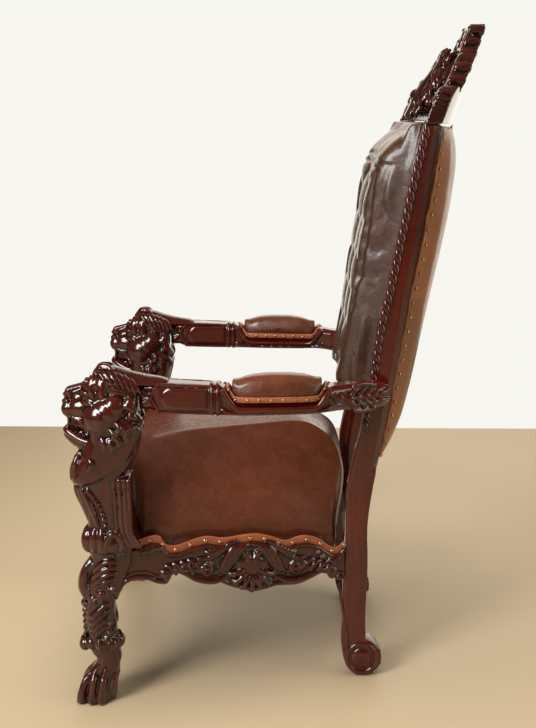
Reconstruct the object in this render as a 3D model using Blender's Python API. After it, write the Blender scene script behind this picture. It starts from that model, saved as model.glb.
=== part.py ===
# Lion throne: a carved mahogany armchair with a tufted leather back.
# Metres, +Z up. The sitter faces -Y, and the sitter's left is +X.
# The origin is on the floor, under the middle of the whole chair.
import math

import bmesh
import bpy
from mathutils import Matrix, Vector

# Driving dimensions of the frame
FRONT_AXIS_X = 0.345        # middle of a front post, from the chair's middle
FRONT_AXIS_Y = -0.380       # front posts, measured at the ankle
FRONT_POST_HEIGHT = 0.741   # floor to the top of a lion's mane
REAR_AXIS_X = 0.210         # middle of a rear leg, up to the seat
REAR_FACE_Y = 0.143         # front face of the rear legs, where the side rails end
SHOULDER_AXIS_X = 0.247     # middle of a rear post, at its top
REAR_POST_WIDTH = 0.045
SHOULDER_HEIGHT = 1.221     # top of the rear posts, under the crest
FLARE_START = 0.450         # height where the rear posts start to spread
GAP = 0.0003                # clearance between pieces that touch

# Seat frame
SEAT_LEDGE = 0.322          # height of the ledge that carries the cushion, at mid depth
SEAT_FALL = 0.040           # the seat frame drops this much toward the rear
RAIL_THICKNESS = 0.036
RAIL_LIP = 0.012            # thickness of the wavy lip in front of the leather
RAIL_FRONT_Y = FRONT_AXIS_Y + 0.043
RAIL_REAR_Y = REAR_FACE_Y
RAIL_FRONT_X = FRONT_AXIS_X + 0.004
RAIL_REAR_X = REAR_AXIS_X + 0.012
RAIL_JOINT_TOP = 0.035      # top of the joint with the front post, above the ledge
FRONT_RAIL_Y = FRONT_AXIS_Y - 0.006
FRONT_RAIL_END = FRONT_AXIS_X - 0.035
REAR_RAIL_Y = REAR_FACE_Y + 0.029
REAR_RAIL_DEPTH = 0.030
REAR_RAIL_HEIGHT = 0.080

# Arms
ARM_WIDTH = 0.054
ARM_END_WIDTH = 0.042
ARM_FRONT_Y = FRONT_AXIS_Y + 0.097
ARM_BACK_Y = REAR_FACE_Y + 0.093
ARM_HIGH = FRONT_POST_HEIGHT - 0.041
ARM_DEPTH = 0.056
PAD_FRONT_Y = -0.104
PAD_LENGTH = 0.204
PAD_HOLLOW = 0.031          # how far the arm dips to carry its pad
PAD_RISE = 0.058            # height of the pad above that hollow
PAD_HALF_WIDTH = 0.037

# Back
BACK_BOW = 0.048            # how far the middle of the back curves rearward
BACK_BOW_LOW = 0.62         # share of that bow at the lower rail
LOW_RAIL_LOW = 0.552
LOW_RAIL_HEIGHT = 0.044
LOW_RAIL_HALF_DEPTH = 0.016
PANEL_CLEARANCE = 0.002     # between the lower rail and the rear panel
BACK_CUSHION_GAP = 0.008    # between the lower rail and the cushion above it
UPHOLSTERY_TOP = SHOULDER_HEIGHT - 0.007
BACK_CUSHION_PROUD = 0.128  # deepest bulge in front of the frame's middle
BACK_PANEL_LOW = 0.490
BACK_PANEL_PROUD = 0.050
UPHOLSTERY_SIDE_GAP = 0.002

# Crest
CREST_HEIGHT = 0.211
CREST_THICKNESS = 0.034
CREST_HALF_WIDTH = SHOULDER_AXIS_X + 0.029
CREST_RAKE = 0.345          # rearward run for each unit of height

# Seat cushion
SEAT_CROWN = SEAT_LEDGE + 0.224
SEAT_SIDE = SEAT_LEDGE + 0.083
SEAT_NOTCH_Y = FRONT_AXIS_Y + 0.080     # the cushion steps back behind the front posts
SEAT_NOTCH_X = FRONT_RAIL_END - 0.010

# Fineness of the carved solids
VOXEL = 0.0046
FRONT_POST_FACES = 1600
SIDE_RAIL_FACES = 560
FRONT_RAIL_FACES = 480
CREST_FACES = 1250

# The patterns for the carving are drawn in millimetres of a post of this height
POST_PATTERN = 741.0
CREST_PATTERN = 211.0
CREST_PATTERN_HALF = 276.0


def clear_scene():
    for item in list(bpy.data.objects):
        bpy.data.objects.remove(item, do_unlink=True)


def material(name, colour, roughness, metallic=0.0, coat=0.0):
    made = bpy.data.materials.new(name)
    made.use_nodes = True
    shader = made.node_tree.nodes["Principled BSDF"]
    shader.inputs["Base Color"].default_value = (*colour, 1.0)
    shader.inputs["Roughness"].default_value = roughness
    shader.inputs["Metallic"].default_value = metallic
    shader.inputs["Coat Weight"].default_value = coat
    return made


# Curves

def smooth(keys, per_span=4):
    """Points on a smooth curve through the keys, which hold any number of values."""
    rows = [tuple(float(value) for value in key) for key in keys]
    if len(rows) < 3:
        return rows
    first = tuple(2 * a - b for a, b in zip(rows[0], rows[1]))
    last = tuple(2 * a - b for a, b in zip(rows[-1], rows[-2]))
    rows = [first, *rows, last]
    result = []
    for index in range(1, len(rows) - 2):
        p, q, r, s = rows[index - 1:index + 3]
        for step in range(per_span):
            t = step / per_span
            result.append(tuple(
                0.5 * (2 * b + (c - a) * t + (2 * a - 5 * b + 4 * c - d) * t * t
                       + (3 * b - a - 3 * c + d) * t ** 3)
                for a, b, c, d in zip(p, q, r, s)))
    result.append(rows[-2])
    return result


def between(keys, value):
    """The other columns of a table at a value of its first column."""
    if value <= keys[0][0]:
        return keys[0][1:]
    for low, high in zip(keys, keys[1:]):
        if value <= high[0]:
            t = (value - low[0]) / (high[0] - low[0])
            return tuple(a + (b - a) * t for a, b in zip(low[1:], high[1:]))
    return keys[-1][1:]


def signed_power(value, power):
    return math.copysign(abs(value) ** power, value)


# Shapes

def skin_rings(bm, rings):
    """Join rings of points with quads and close both ends."""
    made = [[bm.verts.new(point) for point in ring] for ring in rings]
    count = len(made[0])
    for low, high in zip(made, made[1:]):
        for i in range(count):
            j = (i + 1) % count
            bm.faces.new((low[i], low[j], high[j], high[i]))
    for ring in (made[0], made[-1]):
        middle = sum((v.co for v in ring), Vector()) / count
        tip = bm.verts.new(middle)
        for i in range(count):
            pair = (ring[i], ring[(i + 1) % count])
            if ring is made[0]:
                pair = pair[::-1]
            bm.faces.new((*pair, tip))


def tube(bm, keys, place, sides=8, flat=1.0, per_span=4):
    """A tapered rod along a smooth path; each key is (x, y, z, radius)."""
    rows = smooth(keys, per_span)
    points = [Vector(place(row[0], row[1], row[2])) for row in rows]
    rings = []
    side = None
    for index, (point, row) in enumerate(zip(points, rows)):
        ahead = points[min(index + 1, len(points) - 1)]
        behind = points[max(index - 1, 0)]
        along = (ahead - behind).normalized()
        if side is None:
            helper = Vector((1, 0, 0)) if abs(along.x) < 0.8 else Vector((0, 0, 1))
            side = along.cross(helper).normalized()
        side = (side - along * side.dot(along)).normalized()
        other = along.cross(side)
        radius = row[3] * place.unit
        rings.append([
            point + side * (radius * flat * math.cos(turn)) + other * (radius * math.sin(turn))
            for turn in (2 * math.pi * k / sides for k in range(sides))])
    skin_rings(bm, rings)


def ball(bm, centre, radii, place, segments=12, rings=8):
    """An ellipsoid with its own half sizes."""
    rows = []
    for r in range(1, rings):
        tilt = math.pi * r / rings
        row = []
        for s in range(segments):
            turn = 2 * math.pi * s / segments
            row.append(Vector(place(
                centre[0] + radii[0] * math.sin(tilt) * math.cos(turn),
                centre[1] + radii[1] * math.sin(tilt) * math.sin(turn),
                centre[2] + radii[2] * math.cos(tilt))))
        rows.append(row)
    skin_rings(bm, rows[::-1])


def slab(bm, outline, near, far, place):
    """An outline in the first and third directions, given thickness in the second."""
    rings = [[Vector(place(u, w, v)) for u, v in outline] for w in (near, far)]
    made = [[bm.verts.new(point) for point in ring] for ring in rings]
    count = len(outline)
    for i in range(count):
        j = (i + 1) % count
        bm.faces.new((made[0][i], made[0][j], made[1][j], made[1][i]))
    bm.faces.new(made[0][::-1])
    bm.faces.new(made[1])


def block(bm, low, high, place):
    outline = ((low[0], low[2]), (high[0], low[2]), (high[0], high[2]), (low[0], high[2]))
    slab(bm, outline, low[1], high[1], place)


class Place:
    """Puts pattern coordinates into the chair: a unit size and a rule."""

    def __init__(self, rule, unit=1.0):
        self.rule = rule
        self.unit = unit

    def __call__(self, a, b, c):
        return self.rule(a, b, c)


WORLD = Place(lambda x, y, z: (x, y, z))


# Objects

def new_object(name, bm, surface):
    bmesh.ops.recalc_face_normals(bm, faces=bm.faces)
    mesh = bpy.data.meshes.new(name)
    bm.to_mesh(mesh)
    bm.free()
    mesh.materials.append(surface)
    made = bpy.data.objects.new(name, mesh)
    bpy.context.scene.collection.objects.link(made)
    return made


def settle(made):
    """Turn an object's modifiers into plain mesh."""
    bpy.context.view_layer.update()
    evaluated = made.evaluated_get(bpy.context.evaluated_depsgraph_get())
    mesh = bpy.data.meshes.new_from_object(evaluated)
    made.modifiers.clear()
    old = made.data
    made.data = mesh
    bpy.data.meshes.remove(old)
    mesh.name = made.name
    return made


def triangles(made):
    return sum(len(face.vertices) - 2 for face in made.data.polygons)


def carve(made, faces, voxel=VOXEL):
    """Fuse overlapping carved forms into one skin and thin its faces."""
    fuse = made.modifiers.new("fuse", "REMESH")
    fuse.mode = "VOXEL"
    fuse.voxel_size = voxel
    soften = made.modifiers.new("soften", "SMOOTH")
    soften.factor = 0.4
    soften.iterations = 1
    settle(made)
    thin = made.modifiers.new("thin", "DECIMATE")
    thin.ratio = min(1.0, faces / triangles(made))
    thin.use_collapse_triangulate = True
    settle(made)
    keep_largest(made)
    return made


def keep_largest(made):
    """Drop specks that the fusing may leave inside or beside the main skin."""
    bm = bmesh.new()
    bm.from_mesh(made.data)
    left = set(bm.verts)
    groups = []
    while left:
        seed = left.pop()
        group = {seed}
        edge = [seed]
        while edge:
            vert = edge.pop()
            for link in vert.link_edges:
                other = link.other_vert(vert)
                if other in left:
                    left.remove(other)
                    group.add(other)
                    edge.append(other)
        groups.append(group)
    groups.sort(key=len, reverse=True)
    for group in groups[1:]:
        bmesh.ops.delete(bm, geom=list(group), context="VERTS")
    bm.to_mesh(made.data)
    bm.free()


def cut_away(made, name, low, high, place=WORLD):
    """Subtract a box, so that a neighbour can sit against a flat face."""
    bm = bmesh.new()
    block(bm, low, high, place)
    cutter = new_object(name, bm, made.data.materials[0])
    cutter.hide_render = True
    cutter.display_type = "WIRE"
    cut = made.modifiers.new("cut", "BOOLEAN")
    cut.operation = "DIFFERENCE"
    cut.solver = "EXACT"
    cut.use_hole_tolerant = True
    cut.object = cutter
    settle(made)
    bpy.data.objects.remove(cutter, do_unlink=True)
    return made


def mirrored(made, name):
    """The same piece for the other side of the chair."""
    mesh = made.data.copy()
    mesh.transform(Matrix.Diagonal((-1.0, 1.0, 1.0, 1.0)))
    mesh.flip_normals()
    mesh.name = name
    other = bpy.data.objects.new(name, mesh)
    bpy.context.scene.collection.objects.link(other)
    return other


def shade(made, degrees=32.0):
    made.data.shade_smooth()
    made.data.set_sharp_from_angle(angle=math.radians(degrees))


# Front post: paw foot, leaf-carved leg, plain panel, neck and lion's head, in one piece

# height, front, rear and half width of the plain block under the carving
POST_BLOCK = (
    (0, -40, 20, 33), (23, -38, 26, 35), (49, -32, 34, 31), (70, -22, 38, 27),
    (89, -11, 42, 25), (101, -10, 45, 25), (116, -24, 42, 27), (149, -25, 38, 29),
    (177, -31, 36, 31), (199, -31, 34, 32), (231, -26, 35, 33), (243, -26, 44, 33), (256, -27, 52, 34),
    (284, -20, 62, 34), (311, -14, 72, 34), (326, -13, 75, 34), (345, -22, 76, 34),
    (384, -22, 74, 34), (424, -23, 68, 34), (461, -30, 64, 36), (490, -37, 58, 40),
    (505, -37, 60, 43), (520, -29, 72, 46), (549, -15, 88, 50), (581, -8, 96, 52),
    (610, 0, 96, 51), (640, 12, 94, 48), (672, 20, 92, 42), (700, 28, 84, 32),
    (722, 40, 66, 16))


def post_skin(height, degrees, proud=0.0):
    """A point on the block: 0 degrees is the front, 90 is the outer side."""
    front, rear, half = between(POST_BLOCK, height)
    turn = math.radians(degrees)
    reach_x = half + proud
    reach_y = (rear - front) / 2 + proud
    x = reach_x * signed_power(math.sin(turn), 0.72)
    y = (front + rear) / 2 - reach_y * signed_power(math.cos(turn), 0.72)
    return x, y, height


def on_post(keys):
    """Path keys (height, degrees, proud, radius) as keys for a tube."""
    return [(*post_skin(height, degrees, proud), radius) for height, degrees, proud, radius in keys]


def post_block(bm, place):
    rings = []
    for row in smooth(POST_BLOCK, 3):
        height = row[0]
        rings.append([Vector(place(*post_skin(height, 15 * k))) for k in range(24)])
    skin_rings(bm, rings)


def paw(bm, place):
    for degrees in (-62, -22, 18, 58, 98):
        tube(bm, on_post(((88, degrees, -4, 7), (60, degrees, -3, 9), (36, degrees, -2, 11),
                          (18, degrees, -2, 13), (4, degrees, -1, 9))), place)


def ankle_roll(bm, place):
    for degrees, size in ((-48, 13), (-6, 17), (36, 14), (76, 15), (116, 13)):
        x, y, height = post_skin(124, degrees, 4)
        ball(bm, (x, y, height), (size, size, 13), place)


def lower_leaf(bm, place):
    for step in range(4):
        low = 143 + 16 * step
        tube(bm, on_post(((low, -20, 0, 5), (low + 8, 22, 3, 6), (low + 22, 66, 2, 6),
                          (low + 34, 104, -1, 4))), place)
    for step in range(5):
        x, y, height = post_skin(150 + 15 * step, -6, 4)
        ball(bm, (x, y, height), (7, 7, 7), place)


def knee_leaf(bm, place):
    tube(bm, on_post(((316, 0, -2, 8), (286, -4, 3, 13), (252, 0, 4, 14), (224, 8, 1, 8))), place)
    for step in range(4):
        high = 262 + 15 * step
        tube(bm, on_post(((high - 22, 40, 1, 5), (high - 10, 62, 4, 7),
                          (high, 88, 3, 6), (high + 2, 116, -1, 4))), place)
    x, y, height = post_skin(234, 80, 4)
    ball(bm, (x, y, height), (8, 9, 9), place)
    tube(bm, on_post(((258, 104, 0, 6), (240, 108, 2, 7), (226, 92, 3, 6), (222, 66, 2, 5))), place)


def knuckle(bm, place):
    for degrees in (-42, 0, 38):
        tube(bm, on_post(((372, degrees, -3, 10), (362, degrees, -1, 15), (344, degrees, 0, 17),
                          (330, degrees, -1, 12))), place)
    turns = []
    for step in range(9):
        angle = math.radians(35 * step)
        reach = 19 - 1.7 * step
        turns.append((350 + reach * math.cos(angle), 84 + 1.35 * reach * math.sin(angle),
                      3, 7.5 - 0.35 * step))
    tube(bm, on_post(turns), place)


def panel_frame(bm, place):
    tube(bm, on_post(((368, 40, 2, 7), (400, 34, 3, 6), (440, 26, 4, 7), (482, 16, 4, 8),
                      (500, 6, 2, 6))), place)
    for step in range(6):
        x, y, height = post_skin(378 + 17 * step, 44 - 5 * step, 3)
        ball(bm, (x, y, height), (6, 7, 7), place)
    for degrees, proud in ((112, 1.5), (128, 0.5)):
        tube(bm, on_post(((352, degrees, proud, 6), (400, degrees, proud, 5),
                          (450, degrees, proud, 5), (498, degrees - 6, 0, 5))), place)


def lion_head(bm, place):
    ball(bm, (0, 25, 668), (47, 58, 52), place)
    tube(bm, ((0, 12, 700, 25), (0, -20, 693, 23), (0, -55, 684, 19)), place, flat=0.5)
    for side in (-1, 1):
        ball(bm, (side * 12, -49, 647), (14, 17, 15), place)
        ball(bm, (side * 19, -28, 645), (20, 30, 25), place)
        ball(bm, (side * 31, 6, 628), (29, 36, 36), place)
        ball(bm, (side * 30, 36, 664), (27, 30, 27), place)
        tube(bm, ((side * 14, -18, 692, 9), (side * 27, -6, 700, 12), (side * 36, 14, 699, 12),
                  (side * 38, 30, 688, 7)), place)
        ball(bm, (side * 33, -3, 677), (9, 10, 9), place)
        ball(bm, (side * 37, 42, 703), (13, 15, 13), place)
        tube(bm, ((side * 16, 0, 594, 11), (side * 17, -30, 595, 10), (side * 13, -54, 604, 8)), place)
        for step in range(8):
            angle = math.radians(-112 + 24 * step)
            near, far = 39, 59 - 0.8 * step
            tube(bm, ((side * 47, 10 + near * math.cos(angle), 628 + near * math.sin(angle), 9),
                      (side * 51, 10 + 50 * math.cos(angle + 0.12), 628 + 50 * math.sin(angle + 0.12), 9),
                      (side * 45, 10 + far * math.cos(angle + 0.3), 628 + far * math.sin(angle + 0.3), 4)),
                 place, per_span=3)
    tube(bm, ((0, 20, 580, 26), (0, -20, 582, 21), (0, -48, 592, 15), (0, -60, 602, 8)), place)
    ball(bm, (0, -44, 652), (13, 14, 12), place)


def hair(bm, place):
    for step in range(5):
        x = -32 + 16 * step
        high = 733 - 0.008 * x * x
        tube(bm, ((x, -8, high - 24, 7), (x * 1.05, 14, high - 5, 9), (x * 1.05, 44, high, 9),
                  (x, 76, high - 12, 9), (x * 0.8, 106, 711, 8), (x * 0.7, 132, 700, 6)), place)


def chest_locks(bm, place):
    for degrees in (-30, 0, 30):
        tube(bm, on_post(((556, degrees, 0, 9), (536, degrees, 3, 9), (514, degrees * 0.8, 4, 7),
                          (494, degrees * 0.6, 4, 4))), place)
    for degrees in (58, 86, 114):
        tube(bm, on_post(((585, degrees, -2, 8), (566, degrees, 2, 9), (548, degrees - 10, 1, 5))), place)


def front_post(surface):
    unit = FRONT_POST_HEIGHT / POST_PATTERN
    place = Place(lambda x, y, z: (FRONT_AXIS_X + x * unit, FRONT_AXIS_Y + y * unit, z * unit), unit)
    bm = bmesh.new()
    for step in (post_block, paw, ankle_roll, lower_leaf, knee_leaf, knuckle, panel_frame,
                 lion_head, hair, chest_locks):
        step(bm, place)
    made = new_object("front_post_left", bm, surface)
    carve(made, FRONT_POST_FACES)
    reach = 0.2
    cut_away(made, "floor", (FRONT_AXIS_X - reach, FRONT_AXIS_Y - reach, -reach),
             (FRONT_AXIS_X + reach, FRONT_AXIS_Y + reach, 0.0))
    rail_room = Place(on_side_rail)
    cut_away(made, "side rail room", (-GAP, -0.05, -0.2), (0.2, 0.08, RAIL_JOINT_TOP), rail_room)
    ledge = SEAT_LEDGE + seat_slope(RAIL_FRONT_Y)
    cut_away(made, "front rail room", (0.1, FRONT_RAIL_Y - 0.06, ledge - 0.15),
             (FRONT_RAIL_END + GAP, FRONT_RAIL_Y + 0.1, ledge + RAIL_JOINT_TOP))
    arm_room = (FRONT_AXIS_X - reach, ARM_FRONT_Y - GAP, ARM_HIGH - ARM_DEPTH - 0.02)
    cut_away(made, "arm room", arm_room, (FRONT_AXIS_X + reach, 0.0, FRONT_POST_HEIGHT + reach))
    return made


# Seat rails: a board with carved lower edge, and a wavy lip in front of the leather

def side_rail_length():
    return math.hypot(RAIL_REAR_Y - RAIL_FRONT_Y, RAIL_REAR_X - RAIL_FRONT_X)


def seat_slope(y):
    """How much the seat frame is above or below its middle height."""
    return SEAT_FALL * (0.5 - (y - RAIL_FRONT_Y) / (RAIL_REAR_Y - RAIL_FRONT_Y))


def on_side_rail(along, out, height):
    """From the rail's own directions: along it, outward from its middle, above the ledge."""
    length = side_rail_length()
    run_x = (RAIL_REAR_X - RAIL_FRONT_X) / length
    run_y = (RAIL_REAR_Y - RAIL_FRONT_Y) / length
    y = RAIL_FRONT_Y + run_y * along
    return RAIL_FRONT_X + run_x * along + run_y * out, y - run_x * out, SEAT_LEDGE + height + seat_slope(y)


# share of the rail's length, height above the ledge: the wavy top and the carved bottom
RAIL_TOP = (
    (0.00, 0.020), (0.071, 0.023), (0.122, 0.032), (0.175, 0.035), (0.20, 0.016), (0.25, 0.013),
    (0.31, 0.024), (0.38, 0.033), (0.45, 0.029), (0.53, 0.035), (0.60, 0.038), (0.67, 0.031),
    (0.73, 0.022), (0.80, 0.033), (0.87, 0.028), (0.935, 0.007), (0.97, 0.007), (1.00, 0.022))
RAIL_BOTTOM = (
    (0.00, -0.084), (0.03, -0.070), (0.07, -0.063), (0.12, -0.063), (0.15, -0.070), (0.20, -0.074),
    (0.215, -0.058), (0.24, -0.045), (0.27, -0.048), (0.31, -0.059), (0.38, -0.066), (0.42, -0.067),
    (0.465, -0.078), (0.53, -0.088), (0.58, -0.093), (0.63, -0.090), (0.69, -0.081), (0.78, -0.079),
    (0.84, -0.067), (0.90, -0.052), (0.93, -0.053), (0.955, -0.068), (1.00, -0.070))


def edge_height(table, share):
    return between(table, share)[0]


def rail_outline(length, wavy, steps=44):
    shares = [k / steps for k in range(steps + 1)]
    low = [(share * length, edge_height(RAIL_BOTTOM, share)) for share in shares]
    high = [(share * length, edge_height(RAIL_TOP, share) if wavy else 0.0) for share in shares]
    return low + high[::-1]


def volute(bm, centre, size, turn, place, start=0.0, thick=0.0055, out=0.0):
    """A spiral ridge in the face of a board."""
    keys = []
    for step in range(8):
        angle = start + turn * 0.75 * step
        reach = size * (1.0 - 0.1 * step)
        keys.append((centre[0] + reach * math.cos(angle), out, centre[1] + reach * math.sin(angle),
                     thick * (1 - 0.05 * step)))
    tube(bm, keys, place, per_span=3)
    ball(bm, (centre[0], out, centre[1]), (size * 0.45, thick * 1.2, size * 0.45), place)


def rail_carving(bm, length, place, middle=0.575):
    """Shell, volutes and mouldings on the outer face of a rail."""
    face = RAIL_THICKNESS / 2
    centre = middle * length
    for step in range(7):
        angle = math.radians(-158 + 22.7 * step)
        reach = 0.046 + 0.006 * math.cos(2 * (angle + math.pi / 2))
        tube(bm, ((centre + 0.012 * math.cos(angle), face, -0.038 + 0.010 * math.sin(angle), 0.005),
                  (centre + 0.7 * reach * math.cos(angle), face + 0.006,
                   -0.038 + 0.62 * reach * math.sin(angle), 0.0085),
                  (centre + reach * math.cos(angle), face + 0.002,
                   -0.038 + reach * math.sin(angle), 0.0075)), place)
    for side in (-1, 1):
        tube(bm, ((centre + side * 0.006, face, 0.013, 0.006), (centre + side * 0.018, face + 0.004, 0.023, 0.007),
                  (centre + side * 0.040, face + 0.004, 0.008, 0.007),
                  (centre + side * 0.062, face + 0.002, -0.016, 0.006),
                  (centre + side * 0.088, face, -0.032, 0.004)), place)
        ball(bm, (centre + side * 0.014, face + 0.003, -0.010), (0.008, 0.008, 0.009), place)
        volute(bm, (centre + side * 0.098, -0.042), 0.016, side, place,
               start=math.radians(90), out=face)
        tube(bm, ((centre + side * 0.066, face, -0.054, 0.005), (centre + side * 0.110, face + 0.003, -0.064, 0.007),
                  (centre + side * 0.150, face + 0.001, -0.050, 0.006),
                  (centre + side * 0.178, face - 0.002, -0.038, 0.003)), place)
        for step in range(3):
            start = centre + side * (0.036 + 0.012 * step)
            tube(bm, ((start, face, -0.022 - 0.008 * step, 0.005),
                      (start + side * 0.012, face + 0.004, -0.046 - 0.010 * step, 0.006),
                      (start + side * 0.026, face, -0.064 - 0.008 * step, 0.004)), place)
    for share, side in ((0.185, 1), (0.955, -1)):
        volute(bm, (share * length, -0.060), 0.011, side, place, start=math.radians(-90),
               thick=0.0045, out=face)
        tube(bm, ((share * length - 0.026, face, 0.016, 0.004), (share * length, face + 0.004, 0.008, 0.007),
                  (share * length + 0.024, face, 0.0, 0.004)), place)


def rail_body(bm, length, place):
    face = RAIL_THICKNESS / 2
    slab(bm, rail_outline(length, False), -face, face - RAIL_LIP / 2, place)
    slab(bm, rail_outline(length, True), face - RAIL_LIP, face, place)


def trim_rail(made, length, place):
    """Flat ends and a flat rebate, after the fusing has softened them."""
    wide = 0.1
    tall = 0.3
    cut_away(made, "front end", (-wide, -wide, -tall), (0.0, wide, tall), place)
    cut_away(made, "rear end", (length, -wide, -tall), (length + wide, wide, tall), place)
    cut_away(made, "ledge", (-wide, -wide, 0.0),
             (length + wide, RAIL_THICKNESS / 2 - RAIL_LIP, tall), place)


def side_rail(surface):
    length = side_rail_length()
    place = Place(on_side_rail)
    bm = bmesh.new()
    rail_body(bm, length, place)
    rail_carving(bm, length, place)
    made = new_object("side_rail_left", bm, surface)
    carve(made, SIDE_RAIL_FACES)
    inner = on_side_rail(length, 0.0, 0.0)
    trim_rail(made, length - GAP, place)
    outer_face = REAR_AXIS_X + REAR_POST_WIDTH / 2
    cut_away(made, "post room", (inner[0] - 0.2, RAIL_REAR_Y, 0.0), (outer_face + 0.2, 0.4, 1.0))
    return made


def front_rail(surface):
    length = 2 * FRONT_RAIL_END
    ledge = SEAT_LEDGE + seat_slope(RAIL_FRONT_Y)
    place = Place(lambda along, out, height: (FRONT_RAIL_END - along, FRONT_RAIL_Y - out, ledge + height))
    bm = bmesh.new()
    rail_body(bm, length, place)
    rail_carving(bm, length, place, middle=0.5)
    made = new_object("front_rail", bm, surface)
    carve(made, FRONT_RAIL_FACES)
    trim_rail(made, length, place)
    return made


def rear_rail(surface):
    end = REAR_AXIS_X - REAR_POST_WIDTH / 2 - GAP
    bm = bmesh.new()
    high = SEAT_LEDGE
    block(bm, (-end, REAR_RAIL_Y - REAR_RAIL_DEPTH / 2, high - REAR_RAIL_HEIGHT),
          (end, REAR_RAIL_Y + REAR_RAIL_DEPTH / 2, high), WORLD)
    return new_object("rear_rail", bm, surface)


# Rear posts and the back's frame

# share of the shoulder's height, then the front and the rear of the post
# behind the face where the side rails end
REAR_POST = (
    (0.085, -0.001, 0.053), (0.120, 0.002, 0.052), (0.174, 0.001, 0.054), (0.228, 0.003, 0.055),
    (0.289, 0.006, 0.053), (0.355, 0.007, 0.062), (0.428, 0.024, 0.078), (0.482, 0.038, 0.089),
    (0.564, 0.053, 0.105), (0.652, 0.067, 0.121), (0.739, 0.089, 0.136), (0.841, 0.111, 0.156),
    (0.933, 0.133, 0.171), (1.000, 0.151, 0.183))
FOOT_SCROLL_BACK = 0.047    # middle of the scroll, behind that face
FOOT_SCROLL_RADIUS = 0.0425
FOOT_FLAT_FRONT = 0.035
FOOT_FLAT_REAR = 0.057
# behind the face, height: the front of the foot, from the leg down to the floor
FOOT_FRONT = ((-0.002, 0.085), (0.002, 0.052), (0.010, 0.024), (0.023, 0.008))


def post_depth(height):
    front, rear = between(REAR_POST, height / SHOULDER_HEIGHT)
    return REAR_FACE_Y + front, REAR_FACE_Y + rear


def post_axis_x(height):
    if height <= FLARE_START:
        return REAR_AXIS_X
    share = (height - FLARE_START) / (SHOULDER_HEIGHT - FLARE_START)
    return REAR_AXIS_X + (SHOULDER_AXIS_X - REAR_AXIS_X) * share


def foot_outline():
    """From the rear of the leg round the scroll, along the floor and up the front."""
    centre_z = FOOT_SCROLL_RADIUS + 0.001
    points = []
    for degrees in range(80, -76, -20):
        angle = math.radians(degrees)
        points.append((REAR_FACE_Y + FOOT_SCROLL_BACK + FOOT_SCROLL_RADIUS * math.cos(angle),
                       centre_z + FOOT_SCROLL_RADIUS * math.sin(angle)))
    points += [(REAR_FACE_Y + FOOT_FLAT_REAR, 0.0), (REAR_FACE_Y + FOOT_FLAT_FRONT, 0.0)]
    return points + [(REAR_FACE_Y + y, z) for y, z in FOOT_FRONT[::-1]]


def post_heights():
    """Heights of the leg's and the post's cross sections, from the foot to the shoulder."""
    flat = (SEAT_LEDGE - 0.117, SEAT_LEDGE + 0.023)
    heights = {row[0] * SHOULDER_HEIGHT for row in smooth(REAR_POST, 2)}
    heights = {h for h in heights if min(abs(h - f) for f in (*flat, FLARE_START)) > 0.004}
    return sorted(heights | {*flat, FLARE_START}), flat


def rear_post(surface):
    half = REAR_POST_WIDTH / 2
    heights, flat = post_heights()
    loops = []
    bm = bmesh.new()
    for out in (-half, half):
        front, rear = [], []
        for h in heights:
            y_front, y_rear = post_depth(h)
            if flat[0] <= h <= flat[1]:
                y_front = REAR_FACE_Y + GAP
            front.append(bm.verts.new((post_axis_x(h) + out, y_front, h)))
            rear.append(bm.verts.new((post_axis_x(h) + out, y_rear, h)))
        foot = [bm.verts.new((REAR_AXIS_X + out, y, z)) for y, z in foot_outline()]
        for low in range(len(heights) - 1):
            bm.faces.new((front[low], front[low + 1], rear[low + 1], rear[low]))
        bm.faces.new([rear[0], *foot, front[0]])
        loops.append(front + rear[::-1] + foot)
    count = len(loops[0])
    for i in range(count):
        j = (i + 1) % count
        bm.faces.new((loops[0][i], loops[0][j], loops[1][j], loops[1][i]))
    made = new_object("rear_post_left", bm, surface)
    eye = Place(lambda y, out, z: (REAR_AXIS_X + out, y, z))
    bm = bmesh.new()
    centre_y = REAR_FACE_Y + FOOT_SCROLL_BACK - 0.004
    centre_z = FOOT_SCROLL_RADIUS + 0.001
    for radius, proud in ((0.030, 0.004), (0.019, 0.007)):
        ring = [(centre_y + radius * math.cos(a), centre_z + radius * math.sin(a))
                for a in (math.radians(30 * k) for k in range(12))]
        slab(bm, ring, half - 0.004, half + proud, eye)
    boss = new_object("boss", bm, surface)
    join = made.modifiers.new("join", "BOOLEAN")
    join.operation = "UNION"
    join.solver = "EXACT"
    join.use_self = True
    join.object = boss
    settle(made)
    bpy.data.objects.remove(boss, do_unlink=True)
    return made


def frame_y(height):
    """Middle of the back frame's depth, at the posts."""
    front, rear = post_depth(min(height, SHOULDER_HEIGHT))
    return (front + rear) / 2


def bow(x, height):
    """How far the back curves rearward at a distance from its middle."""
    share = x / (post_axis_x(height) - REAR_POST_WIDTH / 2)
    rise = min(1.0, max(0.0, (height - LOW_RAIL_LOW) / (SHOULDER_HEIGHT - LOW_RAIL_LOW) * 1.5))
    depth = BACK_BOW * (BACK_BOW_LOW + (1 - BACK_BOW_LOW) * rise)
    return depth * max(0.0, 1 - share * share)


def inner_face(height):
    return post_axis_x(height) - REAR_POST_WIDTH / 2


def back_lower_rail(surface):
    rings = []
    high = LOW_RAIL_LOW + LOW_RAIL_HEIGHT
    for step in range(9):
        share = -1 + step / 4
        ring = []
        for height, out in ((LOW_RAIL_LOW, -1), (LOW_RAIL_LOW, 1), (high, 1), (high, -1)):
            x = share * (inner_face(height) - GAP)
            ring.append(Vector((x, frame_y(height) + bow(x, height) + out * LOW_RAIL_HALF_DEPTH, height)))
        rings.append(ring)
    bm = bmesh.new()
    skin_rings(bm, rings)
    return new_object("back_lower_rail", bm, surface)


# Crest: a bowed, raked board with stepped scrolls and a leaf cluster

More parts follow.
